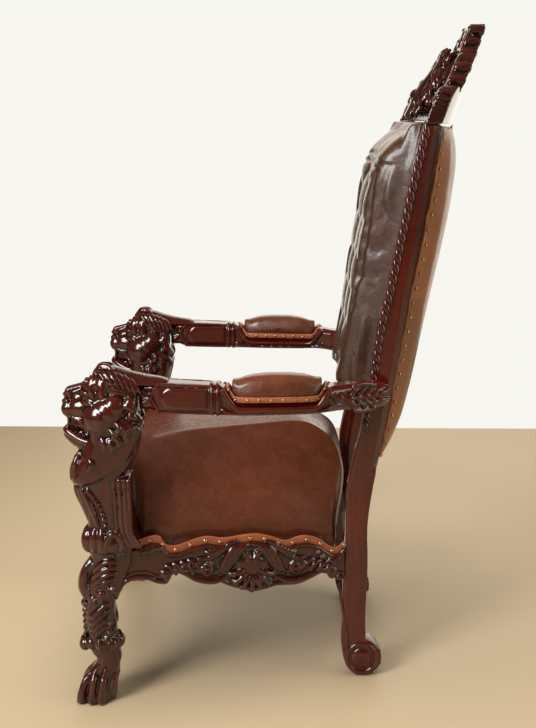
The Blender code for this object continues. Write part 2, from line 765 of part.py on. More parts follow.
# from the middle outward: distance from the middle and height above the shoulder
CREST_OUTLINE = (
    (0, 211), (26, 209), (42, 198), (52, 176), (72, 156), (88, 140), (108, 146), (128, 140),
    (146, 118), (168, 98), (186, 76), (204, 64), (228, 74), (254, 72), (271, 54), (276, 26),
    (270, 6), (262, 0))


def crest_y(x, up):
    base = frame_y(SHOULDER_HEIGHT)
    share = min(1.0, abs(x) / CREST_HALF_WIDTH)
    return base + CREST_RAKE * up + BACK_BOW * (1 - share * share)


def crest(surface):
    unit = CREST_HEIGHT / CREST_PATTERN
    side_unit = CREST_HALF_WIDTH / CREST_PATTERN_HALF
    base = SHOULDER_HEIGHT + GAP

    def rule(x, out, up):
        return (x * side_unit, crest_y(x * side_unit, up * unit) - out * unit, base + up * unit)

    place = Place(rule, unit)
    half = CREST_THICKNESS / 2 / unit
    bm = bmesh.new()
    strips = 24
    width = 2 * CREST_PATTERN_HALF / strips
    for k in range(strips):
        near = -CREST_PATTERN_HALF + width * k
        slab(bm, crest_strip(near, near + width + 1), -half, half, place)
    crest_carving(bm, place, half)
    made = new_object("crest", bm, surface)
    carve(made, CREST_FACES)
    for side in (-1, 1):
        near = side * (SHOULDER_AXIS_X - 0.06)
        far = side * (SHOULDER_AXIS_X + 0.1)
        cut_away(made, "post room", (min(near, far), 0.0, base - CREST_HEIGHT),
                 (max(near, far), crest_y(0.0, CREST_HEIGHT), base))
    return made


def crest_strip(near, far):
    """The outline of an upright strip of the crest, between two distances from its middle."""
    edge = CREST_PATTERN_HALF - 0.1
    tops = []
    for u in (near, (near + far) / 2, far):
        u = max(-edge, min(edge, u))
        tops.append((u, crest_top(abs(u))))
    return [(tops[0][0], 0.0), *tops, (tops[-1][0], 0.0)]


def crest_top(x):
    rows = sorted((u, v) for u, v in smooth(CREST_OUTLINE, 3) if v >= 26)
    return max(4.0, between(rows, x)[0])


def crest_carving(bm, place, half):
    rim = half - 5
    for side in (-1, 1):
        tube(bm, ((side * 244, rim, 36, 9), (side * 262, rim, 44, 9), (side * 252, rim, 62, 9),
                  (side * 226, rim, 64, 9), (side * 200, rim, 52, 9), (side * 176, rim, 72, 9),
                  (side * 150, rim, 104, 9), (side * 122, rim, 130, 9), (side * 98, rim, 132, 9),
                  (side * 84, rim, 120, 8)), place)
        ball(bm, (side * 243, rim, 38), (14, 14, 14), place)
        ball(bm, (side * 106, rim, 116), (13, 14, 13), place)
        tube(bm, ((side * 84, rim, 130, 8), (side * 62, rim, 154, 8), (side * 48, rim - 2, 182, 8),
                  (side * 22, rim - 3, 198, 8), (0, rim - 3, 200, 8)), place)
        ball(bm, (side * 26, half + 2, 172), (14, 16, 14), place)
        tube(bm, ((side * 30, half + 6, 60, 9), (side * 70, half + 4, 46, 11),
                  (side * 112, half + 2, 62, 10), (side * 150, half, 60, 8),
                  (side * 190, half - 2, 28, 7), (side * 226, half - 3, 18, 5)), place)
        for step in range(4):
            start = 46 + 30 * step
            tube(bm, ((side * start, half, 58, 6), (side * (start + 14), half + 6, 82 - 6 * step, 9),
                      (side * (start + 34), half, 96 - 12 * step, 5)), place)
        for step in range(3):
            tube(bm, ((side * 10, half + 30, 104 - 24 * step, 10),
                      (side * (32 + 5 * step), half + 34 + 8 * step, 114 - 26 * step, 13),
                      (side * (56 + 4 * step), half + 12, 126 - 26 * step, 7)), place)
        ball(bm, (side * 18, half + 20, 134), (14, 13, 14), place)
    ball(bm, (0, half + 16, 84), (40, 40, 60), place)
    ball(bm, (0, half + 34, 48), (28, 34, 34), place)
    tube(bm, ((0, half + 4, 150, 10), (0, half + 20, 128, 14), (0, half + 38, 98, 16),
              (0, half + 52, 64, 17), (0, half + 56, 36, 15), (0, half + 64, 12, 11)), place)
    for side in (-1, 1):
        tube(bm, ((side * 16, half + 34, 60, 12), (side * 26, half + 46, 36, 13),
                  (side * 24, half + 50, 10, 8)), place)
    for step, size in enumerate((12, 11, 10)):
        ball(bm, (0, half + 62 - 11 * step, 64 + 22 * step), (size, size, size), place)


# Arms and their pads

def arm_axis_x(y):
    """The arm runs straight back from the head, then curves in to lap on the rear post."""
    rear = post_outer_face(ARM_HIGH - ARM_DEPTH / 2) + ARM_END_WIDTH / 2
    pad_back = PAD_FRONT_Y + PAD_LENGTH
    line = ((ARM_FRONT_Y, FRONT_AXIS_X), (PAD_FRONT_Y, FRONT_AXIS_X + 0.005),
            (pad_back - 0.1, FRONT_AXIS_X + 0.001), (pad_back - 0.01, FRONT_AXIS_X - 0.011),
            (pad_back + 0.04, rear + 0.5 * (FRONT_AXIS_X - rear)), (pad_back + 0.085, rear + 0.016),
            (ARM_BACK_Y, rear))
    return between(smooth(line, 4), y)[0]


def arm_form():
    """y, underside, top and half width: the neck, the panel, the pad's hollow and the end."""
    low, high, half = ARM_HIGH - ARM_DEPTH, ARM_HIGH, ARM_WIDTH / 2
    dip = high - PAD_HOLLOW
    pad_back = PAD_FRONT_Y + PAD_LENGTH
    end = ARM_END_WIDTH / 2
    return (
        (ARM_FRONT_Y, low + 0.006, high + 0.002, half - 0.007),
        (ARM_FRONT_Y + 0.021, low + 0.007, high + 0.006, half - 0.005),
        (ARM_FRONT_Y + 0.038, low + 0.001, high + 0.008, half),
        (PAD_FRONT_Y - 0.031, low - 0.001, high + 0.003, half),
        (PAD_FRONT_Y - 0.014, low - 0.002, high + 0.003, half + 0.003),
        (PAD_FRONT_Y, low - 0.003, high - 0.005, half + 0.004),
        (PAD_FRONT_Y + 0.019, low - 0.003, dip, half + 0.004),
        (pad_back - 0.020, low - 0.001, dip, half + 0.004),
        (pad_back - 0.003, low - 0.001, high - 0.008, half + 0.004),
        (pad_back + 0.012, low - 0.001, high - 0.003, half + 0.003),
        (pad_back + 0.028, low - 0.002, high - 0.005, half - 0.001),
        (ARM_BACK_Y - 0.076, low - 0.006, high - 0.006, end + 0.002),
        (ARM_BACK_Y - 0.036, low - 0.008, high - 0.008, end),
        (ARM_BACK_Y - 0.014, low - 0.004, high - 0.012, end - 0.002),
        (ARM_BACK_Y, low + 0.008, high - 0.020, end - 0.006))


def post_outer_face(height):
    return post_axis_x(height) + REAR_POST_WIDTH / 2


def arm(surface):
    bm = bmesh.new()
    lap_from = post_depth(ARM_HIGH - ARM_DEPTH)[0] - 0.012
    rings = []
    for y, low, high, half in arm_form():
        axis = arm_axis_x(y)
        chamfer = 0.35 * half
        ring = []
        for side, height, cut in ((-1, low, 0), (-1, low, 1), (1, low, 1), (1, low, 0),
                                  (1, high, 0), (1, high, 1), (-1, high, 1), (-1, high, 0)):
            x = axis + side * (half - (chamfer if cut else 0.0))
            shift = chamfer if not cut else 0.0
            z = height + (shift if height == low else -shift)
            if y > lap_from and side < 0:
                x = max(x, post_outer_face(z) + GAP)
            ring.append(Vector((x, y, z)))
        rings.append(ring)
    skin_rings(bm, rings)
    made = new_object("arm_left", bm, surface)
    return made


def arm_pad(surface):
    rings = []
    middle = PAD_FRONT_Y + PAD_LENGTH / 2
    half_length = PAD_LENGTH / 2
    tops = [(row[0], row[2]) for row in arm_form()]
    for step in range(1, 9):
        tilt = math.pi * step / 9
        y = middle - half_length * 0.965 * signed_power(math.cos(tilt), 0.8)
        fat = signed_power(math.sin(tilt), 0.55)
        floor = between(tops, y)[0] + 2 * GAP
        crown = min(floor + PAD_RISE * fat, ARM_HIGH - PAD_HOLLOW + PAD_RISE)
        ring = []
        for k in range(10):
            turn = 2 * math.pi * k / 10
            x = arm_axis_x(y) + PAD_HALF_WIDTH * fat * signed_power(math.cos(turn), 0.7)
            rise = signed_power(math.sin(turn), 0.7)
            z = floor + (crown - floor) * (0.34 + 0.66 * rise if rise > 0 else 0.34 + 0.34 * rise)
            ring.append(Vector((x, y, z)))
        rings.append(ring)
    bm = bmesh.new()
    skin_rings(bm, rings)
    made = new_object("arm_pad_left", bm, surface)
    return made


# Upholstery

def seat_half_width(y):
    """Half the cushion's width: inside the lips of the side rails."""
    length = side_rail_length()
    share = (y - RAIL_FRONT_Y) / (RAIL_REAR_Y - RAIL_FRONT_Y)
    inner_lip = RAIL_THICKNESS / 2 - RAIL_LIP - 2 * GAP
    return on_side_rail(share * length, inner_lip, 0.0)[0] - 0.002


def seat_cushion(surface):
    """A crowned block whose front corners step back behind the front posts."""
    across = 10
    lip_front = FRONT_RAIL_Y - RAIL_THICKNESS / 2 + RAIL_LIP + 2 * GAP
    rows = [lip_front, (lip_front + SEAT_NOTCH_Y) / 2, SEAT_NOTCH_Y - 0.004]
    rear_rows = [SEAT_NOTCH_Y + (REAR_FACE_Y - SEAT_NOTCH_Y) * k / 5 for k in range(6)]
    bm = bmesh.new()

    def height(x, y, half):
        to_side = 1 - abs(x) / half
        to_front = (y - rows[0]) / 0.5
        to_rear = (REAR_FACE_Y - y) / 0.5
        edge = min(1.0, to_side * 3.2) ** 0.5 * min(1.0, to_front * 4 + 0.10) ** 0.5
        crown = edge * min(1.0, to_rear * 5 + 0.62) ** 0.5
        return SEAT_SIDE + (SEAT_CROWN - SEAT_SIDE) * crown

    grid = {}
    all_rows = rows + rear_rows
    for j, y in enumerate(all_rows):
        half = SEAT_NOTCH_X if j < len(rows) else seat_half_width(y)
        for i in range(across + 1):
            share = -1 + 2 * i / across
            x = half * share
            grid[i, j] = (bm.verts.new((x, y, height(x, y, half))),
                          bm.verts.new((x, y, SEAT_LEDGE + 2 * GAP + seat_slope(y))))
    last = len(all_rows) - 1
    for j in range(last):
        for i in range(across):
            corners = ((i, j), (i + 1, j), (i + 1, j + 1), (i, j + 1))
            bm.faces.new([grid[c][0] for c in corners])
            bm.faces.new([grid[c][1] for c in reversed(corners)])
    for i in range(across):
        for j in (0, last):
            pair = (grid[i, j], grid[i + 1, j])
            bm.faces.new((pair[0][0], pair[0][1], pair[1][1], pair[1][0]))
    for j in range(last):
        for i in (0, across):
            pair = (grid[i, j], grid[i, j + 1])
            bm.faces.new((pair[0][0], pair[0][1], pair[1][1], pair[1][0]))
    return new_object("seat_cushion", bm, surface)


def back_pad(name, surface, low, high, proud, forward, columns, rows, skin_gap):
    """A bulging pad between the posts, curved with the back."""
    bm = bmesh.new()
    grid = {}
    for j in range(rows + 1):
        share_z = j / rows
        for i in range(columns + 1):
            share = -1 + 2 * i / columns
            top = high - 0.030 * share * share if high > 1.0 else high
            height = low + (top - low) * share_z
            half = inner_face(height) - UPHOLSTERY_SIDE_GAP
            x = share * half
            base = frame_y(height) + bow(x, height)
            end_power = 16 if forward and share_z < 0.5 else 7 if forward else 4
            edge = (1 - abs(share) ** 5) ** 0.5 * (1 - abs(2 * share_z - 1) ** end_power) ** 0.5
            reach = skin_gap + 0.012 + (proud - skin_gap - 0.012) * edge
            sign = -1 if forward else 1
            grid[i, j] = (bm.verts.new((x, base + sign * skin_gap, height)),
                          bm.verts.new((x, base + sign * reach, height)))
    for j in range(rows):
        for i in range(columns):
            corners = ((i, j), (i + 1, j), (i + 1, j + 1), (i, j + 1))
            bm.faces.new([grid[c][0] for c in corners])
            bm.faces.new([grid[c][1] for c in reversed(corners)])
    border = ([(i, 0) for i in range(columns)] + [(columns, j) for j in range(rows)]
              + [(i, rows) for i in range(columns, 0, -1)] + [(0, j) for j in range(rows, 0, -1)])
    for here, there in zip(border, border[1:] + border[:1]):
        bm.faces.new((grid[here][0], grid[there][0], grid[there][1], grid[here][1]))
    return new_object(name, bm, surface)


def main():
    clear_scene()
    wood = material("mahogany", (0.085, 0.012, 0.008), 0.22, coat=0.6)
    leather = material("brown leather", (0.075, 0.030, 0.018), 0.42)
    post = front_post(wood)
    rail = side_rail(wood)
    leg = rear_post(wood)
    armrest = arm(wood)
    pad = arm_pad(leather)
    pieces = [post, rail, leg, armrest, pad]
    for made in list(pieces):
        pieces.append(mirrored(made, made.name.replace("left", "right")))
    pieces += [front_rail(wood), rear_rail(wood), back_lower_rail(wood), crest(wood),
               seat_cushion(leather),
               back_pad("back_cushion", leather, LOW_RAIL_LOW + LOW_RAIL_HEIGHT + BACK_CUSHION_GAP,
                        UPHOLSTERY_TOP, BACK_CUSHION_PROUD, True, 10, 11, GAP),
               back_pad("back_panel", leather, BACK_PANEL_LOW, UPHOLSTERY_TOP,
                        BACK_PANEL_PROUD, False, 8, 8, LOW_RAIL_HALF_DEPTH + PANEL_CLEARANCE)]
    for made in pieces:
        shade(made)
        print(made.name, triangles(made))
    print("triangles in all", sum(triangles(made) for made in pieces))


main()
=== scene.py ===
# %% [markdown]
# # A lion throne in mahogany and leather
# The lesson dresses a plain solid model of a carved armchair, so that it looks like the real
# piece of furniture.

# %% Load the solid model
import math
import random

import bmesh
import bpy
from mathutils import Matrix, Vector


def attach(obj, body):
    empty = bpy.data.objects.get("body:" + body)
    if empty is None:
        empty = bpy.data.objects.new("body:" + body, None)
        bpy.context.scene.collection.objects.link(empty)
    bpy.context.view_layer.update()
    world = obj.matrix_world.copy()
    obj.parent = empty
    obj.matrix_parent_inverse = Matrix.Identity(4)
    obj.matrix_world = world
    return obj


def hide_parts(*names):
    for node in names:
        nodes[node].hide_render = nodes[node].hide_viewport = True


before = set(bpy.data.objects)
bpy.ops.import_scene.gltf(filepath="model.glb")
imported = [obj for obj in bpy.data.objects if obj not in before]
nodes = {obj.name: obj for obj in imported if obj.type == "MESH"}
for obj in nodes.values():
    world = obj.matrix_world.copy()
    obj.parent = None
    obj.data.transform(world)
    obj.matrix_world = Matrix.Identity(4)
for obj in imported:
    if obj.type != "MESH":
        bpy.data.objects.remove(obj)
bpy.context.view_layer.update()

# %% [markdown]
# ## Camera
# The chair is seen from its left side, a little above the arms. The lens is long, so the far
# arm is only slightly smaller than the near one.

# %% Camera
CAMERA_PLACE = (2.734, 0.020, 1.257)
CAMERA_PITCH = 0.212
CAMERA_YAW = -0.017
IMAGE_HEIGHT = 728
FOCAL_PIXELS = 1200.0
SENSOR = 36.0


def make_camera():
    data = bpy.data.cameras.new("photo view")
    data.sensor_fit = "VERTICAL"
    data.sensor_height = SENSOR
    data.lens = FOCAL_PIXELS / IMAGE_HEIGHT * SENSOR
    data.clip_start = 0.05
    made = bpy.data.objects.new("photo view", data)
    bpy.context.scene.collection.objects.link(made)
    forward = Vector((-math.cos(CAMERA_PITCH) * math.cos(CAMERA_YAW),
                      math.cos(CAMERA_PITCH) * math.sin(CAMERA_YAW), -math.sin(CAMERA_PITCH)))
    made.location = CAMERA_PLACE
    made.rotation_mode = "QUATERNION"
    made.rotation_quaternion = forward.to_track_quat("-Z", "Y")
    bpy.context.scene.camera = made
    print("camera lens", round(data.lens, 2))


make_camera()

# %% [markdown]
# ## Studio
# Lacquered wood shows its surroundings, so the light matters as much as the colour. One large
# soft panel stands beyond the chair as the pale wall does, a window-like panel is on the
# camera's side, one stands behind the back, and one hangs overhead, which the lacquer doesn't
# mirror. The world is bright where it is seen directly and dimmer as light, which keeps the
# dark wood from turning grey.

# %% Lights, world and floor
WALL_LINE = -1.9
FLOOR_REACH = 6.0


def make_area(name, place, aim, width, height, watts, colour=(1.0, 1.0, 1.0), mirrored=True):
    data = bpy.data.lights.new(name, "AREA")
    data.shape = "RECTANGLE"
    data.size = width
    data.size_y = height
    data.energy = watts
    data.color = colour
    made = bpy.data.objects.new(name, data)
    made.location = place
    made.rotation_euler = (Vector(aim) - Vector(place)).to_track_quat("-Z", "Y").to_euler()
    made.visible_camera = False
    made.visible_glossy = mirrored
    bpy.context.scene.collection.objects.link(made)


make_area("wall panel", (-2.4, 0.6, 1.3), (0.0, 0.0, 0.8), 3.4, 2.4, 34.0, (1.0, 0.94, 0.82))
make_area("window", (2.4, -2.0, 2.2), (0.1, 0.0, 0.7), 1.1, 1.9, 150.0, (1.0, 0.99, 0.97))
make_area("rear panel", (0.9, 3.0, 1.4), (0.0, 0.3, 0.8), 2.0, 2.0, 36.0, (1.0, 0.93, 0.80))
make_area("ceiling panel", (0.2, -0.1, 3.1), (0.0, 0.0, 0.0), 2.4, 2.4, 100.0, (1.0, 0.98, 0.94),
          mirrored=False)


def make_world():
    world = bpy.data.worlds.new("pale room")
    bpy.context.scene.world = world
    world.use_nodes = True
    tree = world.node_tree
    tree.nodes.clear()
    path = tree.nodes.new("ShaderNodeLightPath")
    pick = tree.nodes.new("ShaderNodeMixShader")
    tree.links.new(path.outputs["Is Camera Ray"], pick.inputs[0])
    for number, colour, strength in ((1, (0.95, 0.88, 0.76, 1.0), 0.11), (2, (0.93, 0.92, 0.87, 1.0), 1.0)):
        glow = tree.nodes.new("ShaderNodeBackground")
        glow.inputs["Color"].default_value = colour
        glow.inputs["Strength"].default_value = strength
        tree.links.new(glow.outputs[0], pick.inputs[number])
    out = tree.nodes.new("ShaderNodeOutputWorld")
    tree.links.new(pick.outputs[0], out.inputs["Surface"])


def make_floor():
    bm = bmesh.new()
    corners = ((WALL_LINE, -FLOOR_REACH), (FLOOR_REACH, -FLOOR_REACH), (FLOOR_REACH, FLOOR_REACH),
               (WALL_LINE, FLOOR_REACH))
    bm.faces.new([bm.verts.new((x, y, 0.0)) for x, y in corners])
    mesh = bpy.data.meshes.new("floor")
    bm.to_mesh(mesh)
    bm.free()
    made = bpy.data.objects.new("floor", mesh)
    bpy.context.scene.collection.objects.link(made)
    surface = bpy.data.materials.new("pale floor")
    surface.use_nodes = True
    shader = surface.node_tree.nodes["Principled BSDF"]
    shader.inputs["Base Color"].default_value = (0.42, 0.32, 0.20, 1.0)
    shader.inputs["Roughness"].default_value = 0.55
    made.data.materials.append(surface)


make_world()
make_floor()
bpy.context.scene.view_settings.view_transform = "Standard"
print("studio ready")

# %% [markdown]
# ## The carver's kit
# Carving is built the way a carver thinks of it: a plain block, then ridges, balls and leaves
# laid over it. Each is a small closed form, and a voxel remesh then fuses them into one skin.
# A path is a list of keys, and a smooth curve runs through them.

# %% Curves and places
def smooth(keys, per_span=4):
    """Points on a smooth curve through the keys, which hold any number of values."""
    rows = [tuple(float(value) for value in key) for key in keys]
    if len(rows) < 3:
        return rows
    first = tuple(2 * a - b for a, b in zip(rows[0], rows[1]))
    last = tuple(2 * a - b for a, b in zip(rows[-1], rows[-2]))
    rows = [first, *rows, last]
    result = []
    for index in range(1, len(rows) - 2):
        p, q, r, s = rows[index - 1:index + 3]
        for step in range(per_span):
            t = step / per_span
            result.append(tuple(
                0.5 * (2 * b + (c - a) * t + (2 * a - 5 * b + 4 * c - d) * t * t
                       + (3 * b - a - 3 * c + d) * t ** 3)
                for a, b, c, d in zip(p, q, r, s)))
    result.append(rows[-2])
    return result


def between(keys, value):
    """The other columns of a table at a value of its first column."""
    if value <= keys[0][0]:
        return keys[0][1:]
    for low, high in zip(keys, keys[1:]):
        if value <= high[0]:
            t = (value - low[0]) / (high[0] - low[0])
            return tuple(a + (b - a) * t for a, b in zip(low[1:], high[1:]))
    return keys[-1][1:]


def signed_power(value, power):
    return math.copysign(abs(value) ** power, value)


def shares(count):
    """Even shares from 0 to 1."""
    return [k / count for k in range(count + 1)]


def rounded(corners, per_span=4):
    """An outline's corners with a smooth curve through them."""
    return [point[1:] for point in smooth([(k, *corner) for k, corner in enumerate(corners)], per_span)]


class Work:
    """A mesh under the chisel, and the rule that puts a pattern's coordinates into the chair."""

    def __init__(self, rule=None, unit=1.0, bm=None):
        self.rule = rule or (lambda x, y, z: (x, y, z))
        self.unit = unit
        self.bm = bmesh.new() if bm is None else bm

    def __call__(self, a, b, c):
        return Vector(self.rule(a, b, c))

    def seen(self, rule):
        """The same work, with its coordinates changed by a rule first."""
        return Work(lambda a, b, c: self.rule(*rule(a, b, c)), self.unit, self.bm)

    def halves(self, centre=0.0, face=0.0):
        """Both sides of a centre line: measured away from it, and outward from a face."""
        return [self.seen(lambda a, b, c, side=side: (centre + side * a, face + b, c))
                for side in (-1, 1)]


# %% Closed forms: rods, balls and boards
def turns(count):
    """Angles once round a circle."""
    return [2 * math.pi * k / count for k in range(count)]


def turned(ring):
    """The same ring from its second member on."""
    return [*ring[1:], ring[0]]


def skin_rings(bm, rings, endless=False):
    """Join rings of points with quads, and close both ends unless the last meets the first."""
    made = [[bm.verts.new(point) for point in ring] for ring in rings]
    for low, high in zip(made, turned(made) if endless else made[1:]):
        for corners in zip(low, turned(low), turned(high), high):
            bm.faces.new(corners)
    if endless:
        return
    first, last = made[0], made[-1]
    for ring, pairs in ((first, zip(turned(first), first)), (last, zip(last, turned(last)))):
        tip = bm.verts.new(sum((v.co for v in ring), Vector()) / len(ring))
        for pair in pairs:
            bm.faces.new((*pair, tip))


def tube(work, keys, sides=12, flat=1.0, per_span=6):
    """A tapered rod along a smooth path; each key is (x, y, z, radius)."""
    rows = smooth(keys, per_span)
    points = [work(*row[:3]) for row in rows]
    rings = []
    side = None
    for index, (point, row) in enumerate(zip(points, rows)):
        ahead = points[min(index + 1, len(points) - 1)]
        behind = points[max(index - 1, 0)]
        along = (ahead - behind).normalized()
        if side is None:
            helper = Vector((1, 0, 0)) if abs(along.x) < 0.8 else Vector((0, 0, 1))
            side = along.cross(helper).normalized()
        side = (side - along * side.dot(along)).normalized()
        other = along.cross(side)
        radius = max(row[3], 1e-5) * work.unit
        rings.append([
            point + side * (radius * flat * math.cos(turn)) + other * (radius * math.sin(turn))
            for turn in turns(sides)])
    skin_rings(work.bm, rings)


def ball(work, centre, radii, segments=20, rings=14):
    """An ellipsoid with its own half sizes."""
    rows = []
    for r in range(rings - 1, 0, -1):
        tilt = math.pi * r / rings
        rows.append([work(centre[0] + radii[0] * math.sin(tilt) * math.cos(turn),
                          centre[1] + radii[1] * math.sin(tilt) * math.sin(turn),
                          centre[2] + radii[2] * math.cos(tilt)) for turn in turns(segments)])
    skin_rings(work.bm, rows)


def slab(work, outline, near, far):
    """An outline in the first and third directions, given thickness in the second."""
    made = [[work.bm.verts.new(work(u, w, v)) for u, v in outline] for w in (near, far)]
    for low, high, top, side in zip(made[0], turned(made[0]), turned(made[1]), made[1]):
        work.bm.faces.new((low, high, top, side))
    work.bm.faces.new(made[0][::-1])
    work.bm.faces.new(made[1])


# %% Objects from meshes
def new_object(name, bm, surface):
    """An object from a finished bmesh."""
    bmesh.ops.recalc_face_normals(bm, faces=bm.faces)
    mesh = bpy.data.meshes.new(name)
    bm.to_mesh(mesh)
    bm.free()
    mesh.materials.append(surface)
    made = bpy.data.objects.new(name, mesh)
    bpy.context.scene.collection.objects.link(made)
    return made


def settle(made):
    """Turn an object's modifiers into plain mesh."""
    bpy.context.view_layer.update()
    evaluated = made.evaluated_get(bpy.context.evaluated_depsgraph_get())
    mesh = bpy.data.meshes.new_from_object(evaluated)
    made.modifiers.clear()
    old = made.data
    made.data = mesh
    bpy.data.meshes.remove(old)
    mesh.name = made.name
    return made


def triangles(made):
    return sum(len(face.vertices) - 2 for face in made.data.polygons)


def carve(made, voxel, rounds=2, factor=0.5):
    """Fuse overlapping carved forms into one skin and soften it as sanding does."""
    fuse = made.modifiers.new("fuse", "REMESH")
    fuse.mode = "VOXEL"
    fuse.voxel_size = voxel
    soften = made.modifiers.new("soften", "SMOOTH")
    soften.factor = factor
    soften.iterations = rounds
    settle(made)
    made.data.shade_smooth()
    print(made.name, "carved,", triangles(made), "triangles")
    return made


def keep_below(made, height):
    """Flatten what the softening left under a height, such as the floor."""
    for vert in made.data.vertices:
        vert.co.z = max(vert.co.z, height)


def mirrored(made, name):
    """The same piece for the other side of the chair."""
    mesh = made.data.copy()
    mesh.transform(Matrix.Diagonal((-1.0, 1.0, 1.0, 1.0)))
    mesh.flip_normals()
    mesh.name = name
    other = bpy.data.objects.new(name, mesh)
    bpy.context.scene.collection.objects.link(other)
    return other


def fit_out(made, node):
    """Put a finished piece on the chair's body, in the place of a solid."""
    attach(made, "root")
    if node:
        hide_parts(node)


def fit_out_pair(made, node):
    """The same for a left piece and the right one mirrored from it."""
    fit_out(made, node)
    other = mirrored(made, made.name.replace("left", "right"))
    fit_out(other, node and node.replace("left", "right"))


# %% [markdown]
# ## Shared effects
# Two effects show on several finishes: a curvature mask for edges, which are rubbed lighter by
# use, and for hollows, which the wood and the leather darken as painted shade and the brass
# takes as its patina; and a broken, cloudy variation. They are shader node groups that put out
# only masks, and every material feeds its own colours with them.

# %% Node helpers
def feed(tree, socket, value):
    """Link a socket to another one, or set its value."""
    if isinstance(value, bpy.types.NodeSocket):
        tree.links.new(value, socket)
    else:
        socket.default_value = value


def add_node(tree, kind, settings=None, **inputs):
    """A node with its settings, and its inputs as values or as other nodes' sockets."""
    node = tree.nodes.new(kind)
    for key, value in (settings or {}).items():
        setattr(node, key, value)
    for key, value in inputs.items():
        feed(tree, node.inputs[key.replace("_", " ")], value)
    return node


def math_node(tree, operation, *values, clamp=False):
    node = add_node(tree, "ShaderNodeMath", {"operation": operation, "use_clamp": clamp})
    for socket, value in zip(node.inputs, values):
        feed(tree, socket, value)
    return node.outputs[0]


def ramp(tree, value, low, high, to_low=0.0, to_high=1.0):
    """A value's range laid onto another range."""
    node = add_node(tree, "ShaderNodeMapRange", Value=value, From_Min=low, From_Max=high,
                    To_Min=to_low, To_Max=to_high)
    return node.outputs[0]


def add_sockets(group, way, kind, sockets):
    """Named inputs or outputs of a group; an input comes with its value."""
    for name, value in sockets.items():
        socket = group.interface.new_socket(name=name, in_out=way, socket_type=kind)
        if value is not None:
            socket.default_value = value


# %% Node group: worn edges, and hollows for painted shade and patina
def make_worn_edge_and_hollow_group():
    group = bpy.data.node_groups.new("worn edges and hollows", "ShaderNodeTree")
    add_sockets(group, "INPUT", "NodeSocketFloat", {"Curvature": 0.5, "Spread": 0.05, "Patch Size": 18.0})
    add_sockets(group, "OUTPUT", "NodeSocketFloat", {"Hollow": None, "Edge": None})
    start = group.nodes.new("NodeGroupInput").outputs
    end = group.nodes.new("NodeGroupOutput")
    place = group.nodes.new("ShaderNodeTexCoord").outputs["Object"]
    patches = add_node(group, "ShaderNodeTexNoise", Vector=place, Scale=start["Patch Size"],
                       Detail=4.0, Roughness=0.6)
    broken = ramp(group, patches.outputs[0], 0.35, 0.6)
    lift = math_node(group, "SUBTRACT", start["Curvature"], 0.5)
    share = math_node(group, "DIVIDE", lift, start["Spread"])
    for name, sign, strength in (("Hollow", -1.0, 1.0), ("Edge", 1.0, broken)):
        turn = math_node(group, "MULTIPLY", share, sign, clamp=True)
        feed(group, end.inputs[name], math_node(group, "MULTIPLY", turn, strength, clamp=True))
    return group


WORN_EDGE_AND_HOLLOW_MASKS = make_worn_edge_and_hollow_group()


# %% Node group: cloudy variation
def make_cloud_group():
    group = bpy.data.node_groups.new("cloudy variation", "ShaderNodeTree")
    add_sockets(group, "INPUT", "NodeSocketFloat", {"Size": 3.0, "Low": 0.35, "High": 0.65})
    add_sockets(group, "INPUT", "NodeSocketVector", {"Stretch": (1.0, 1.0, 1.0)})
    add_sockets(group, "OUTPUT", "NodeSocketFloat", {"Cloud": None})
    start = group.nodes.new("NodeGroupInput").outputs
    end = group.nodes.new("NodeGroupOutput")
    scale = add_node(group, "ShaderNodeVectorMath", {"operation": "MULTIPLY"})
    feed(group, scale.inputs[0], group.nodes.new("ShaderNodeTexCoord").outputs["Object"])
    feed(group, scale.inputs[1], start["Stretch"])
    noise = add_node(group, "ShaderNodeTexNoise", Vector=scale.outputs[0], Scale=start["Size"],
                     Detail=5.0, Roughness=0.55, Distortion=0.4)
    feed(group, end.inputs["Cloud"], ramp(group, noise.outputs[0], start["Low"], start["High"]))
    return group


CLOUD = make_cloud_group()
print("shared effects:", WORN_EDGE_AND_HOLLOW_MASKS.name, "and", CLOUD.name)

# %% [markdown]
# ## Mahogany
# The wood is stained very dark red and covered with a glossy clear lacquer. Its red glow is
# painted light: the plain rear posts and arms get a brighter, redder base colour, and the
# carving a darker one, the crest darkest, as painted shade. Carved hollows are painted nearly
# black as shade, and edges that hands touch are a little lighter. The lacquer is the shader's
# coat, and the grain is fine streaks that follow each piece's length.

# %% Surface helpers
def mix_colour(tree, factor, first, second, kind="MIX"):
    node = add_node(tree, "ShaderNodeMix", {"data_type": "RGBA", "blend_type": kind})
    for number, value in ((0, factor), (6, first), (7, second)):
        feed(tree, node.inputs[number], (*value, 1.0) if isinstance(value, tuple) else value)
    return node.outputs[2]


def new_surface(name, spread, patch_size):
    """A material, and the masks of worn edges and of hollows at its piece's curvature; the hollow mask serves
    painted shade on wood and leather and patina on brass.
    """
    made = bpy.data.materials.new(name)
    made.use_nodes = True
    tree = made.node_tree
    curve = tree.nodes.new("ShaderNodeNewGeometry").outputs["Pointiness"]
    edge_and_hollow_masks = add_node(tree, "ShaderNodeGroup", {"node_tree": WORN_EDGE_AND_HOLLOW_MASKS}, Curvature=curve, Spread=spread,
                    Patch_Size=patch_size)
    return made, tree, edge_and_hollow_masks.outputs


def cloud(tree, size, low, high, stretch=(1.0, 1.0, 1.0)):
    return add_node(tree, "ShaderNodeGroup", {"node_tree": CLOUD}, Size=size, Low=low, High=high,
                    Stretch=stretch).outputs[0]


def finish_surface(tree, **inputs):
    for name, value in inputs.items():
        feed(tree, tree.nodes["Principled BSDF"].inputs[name.replace("_", " ")], value)


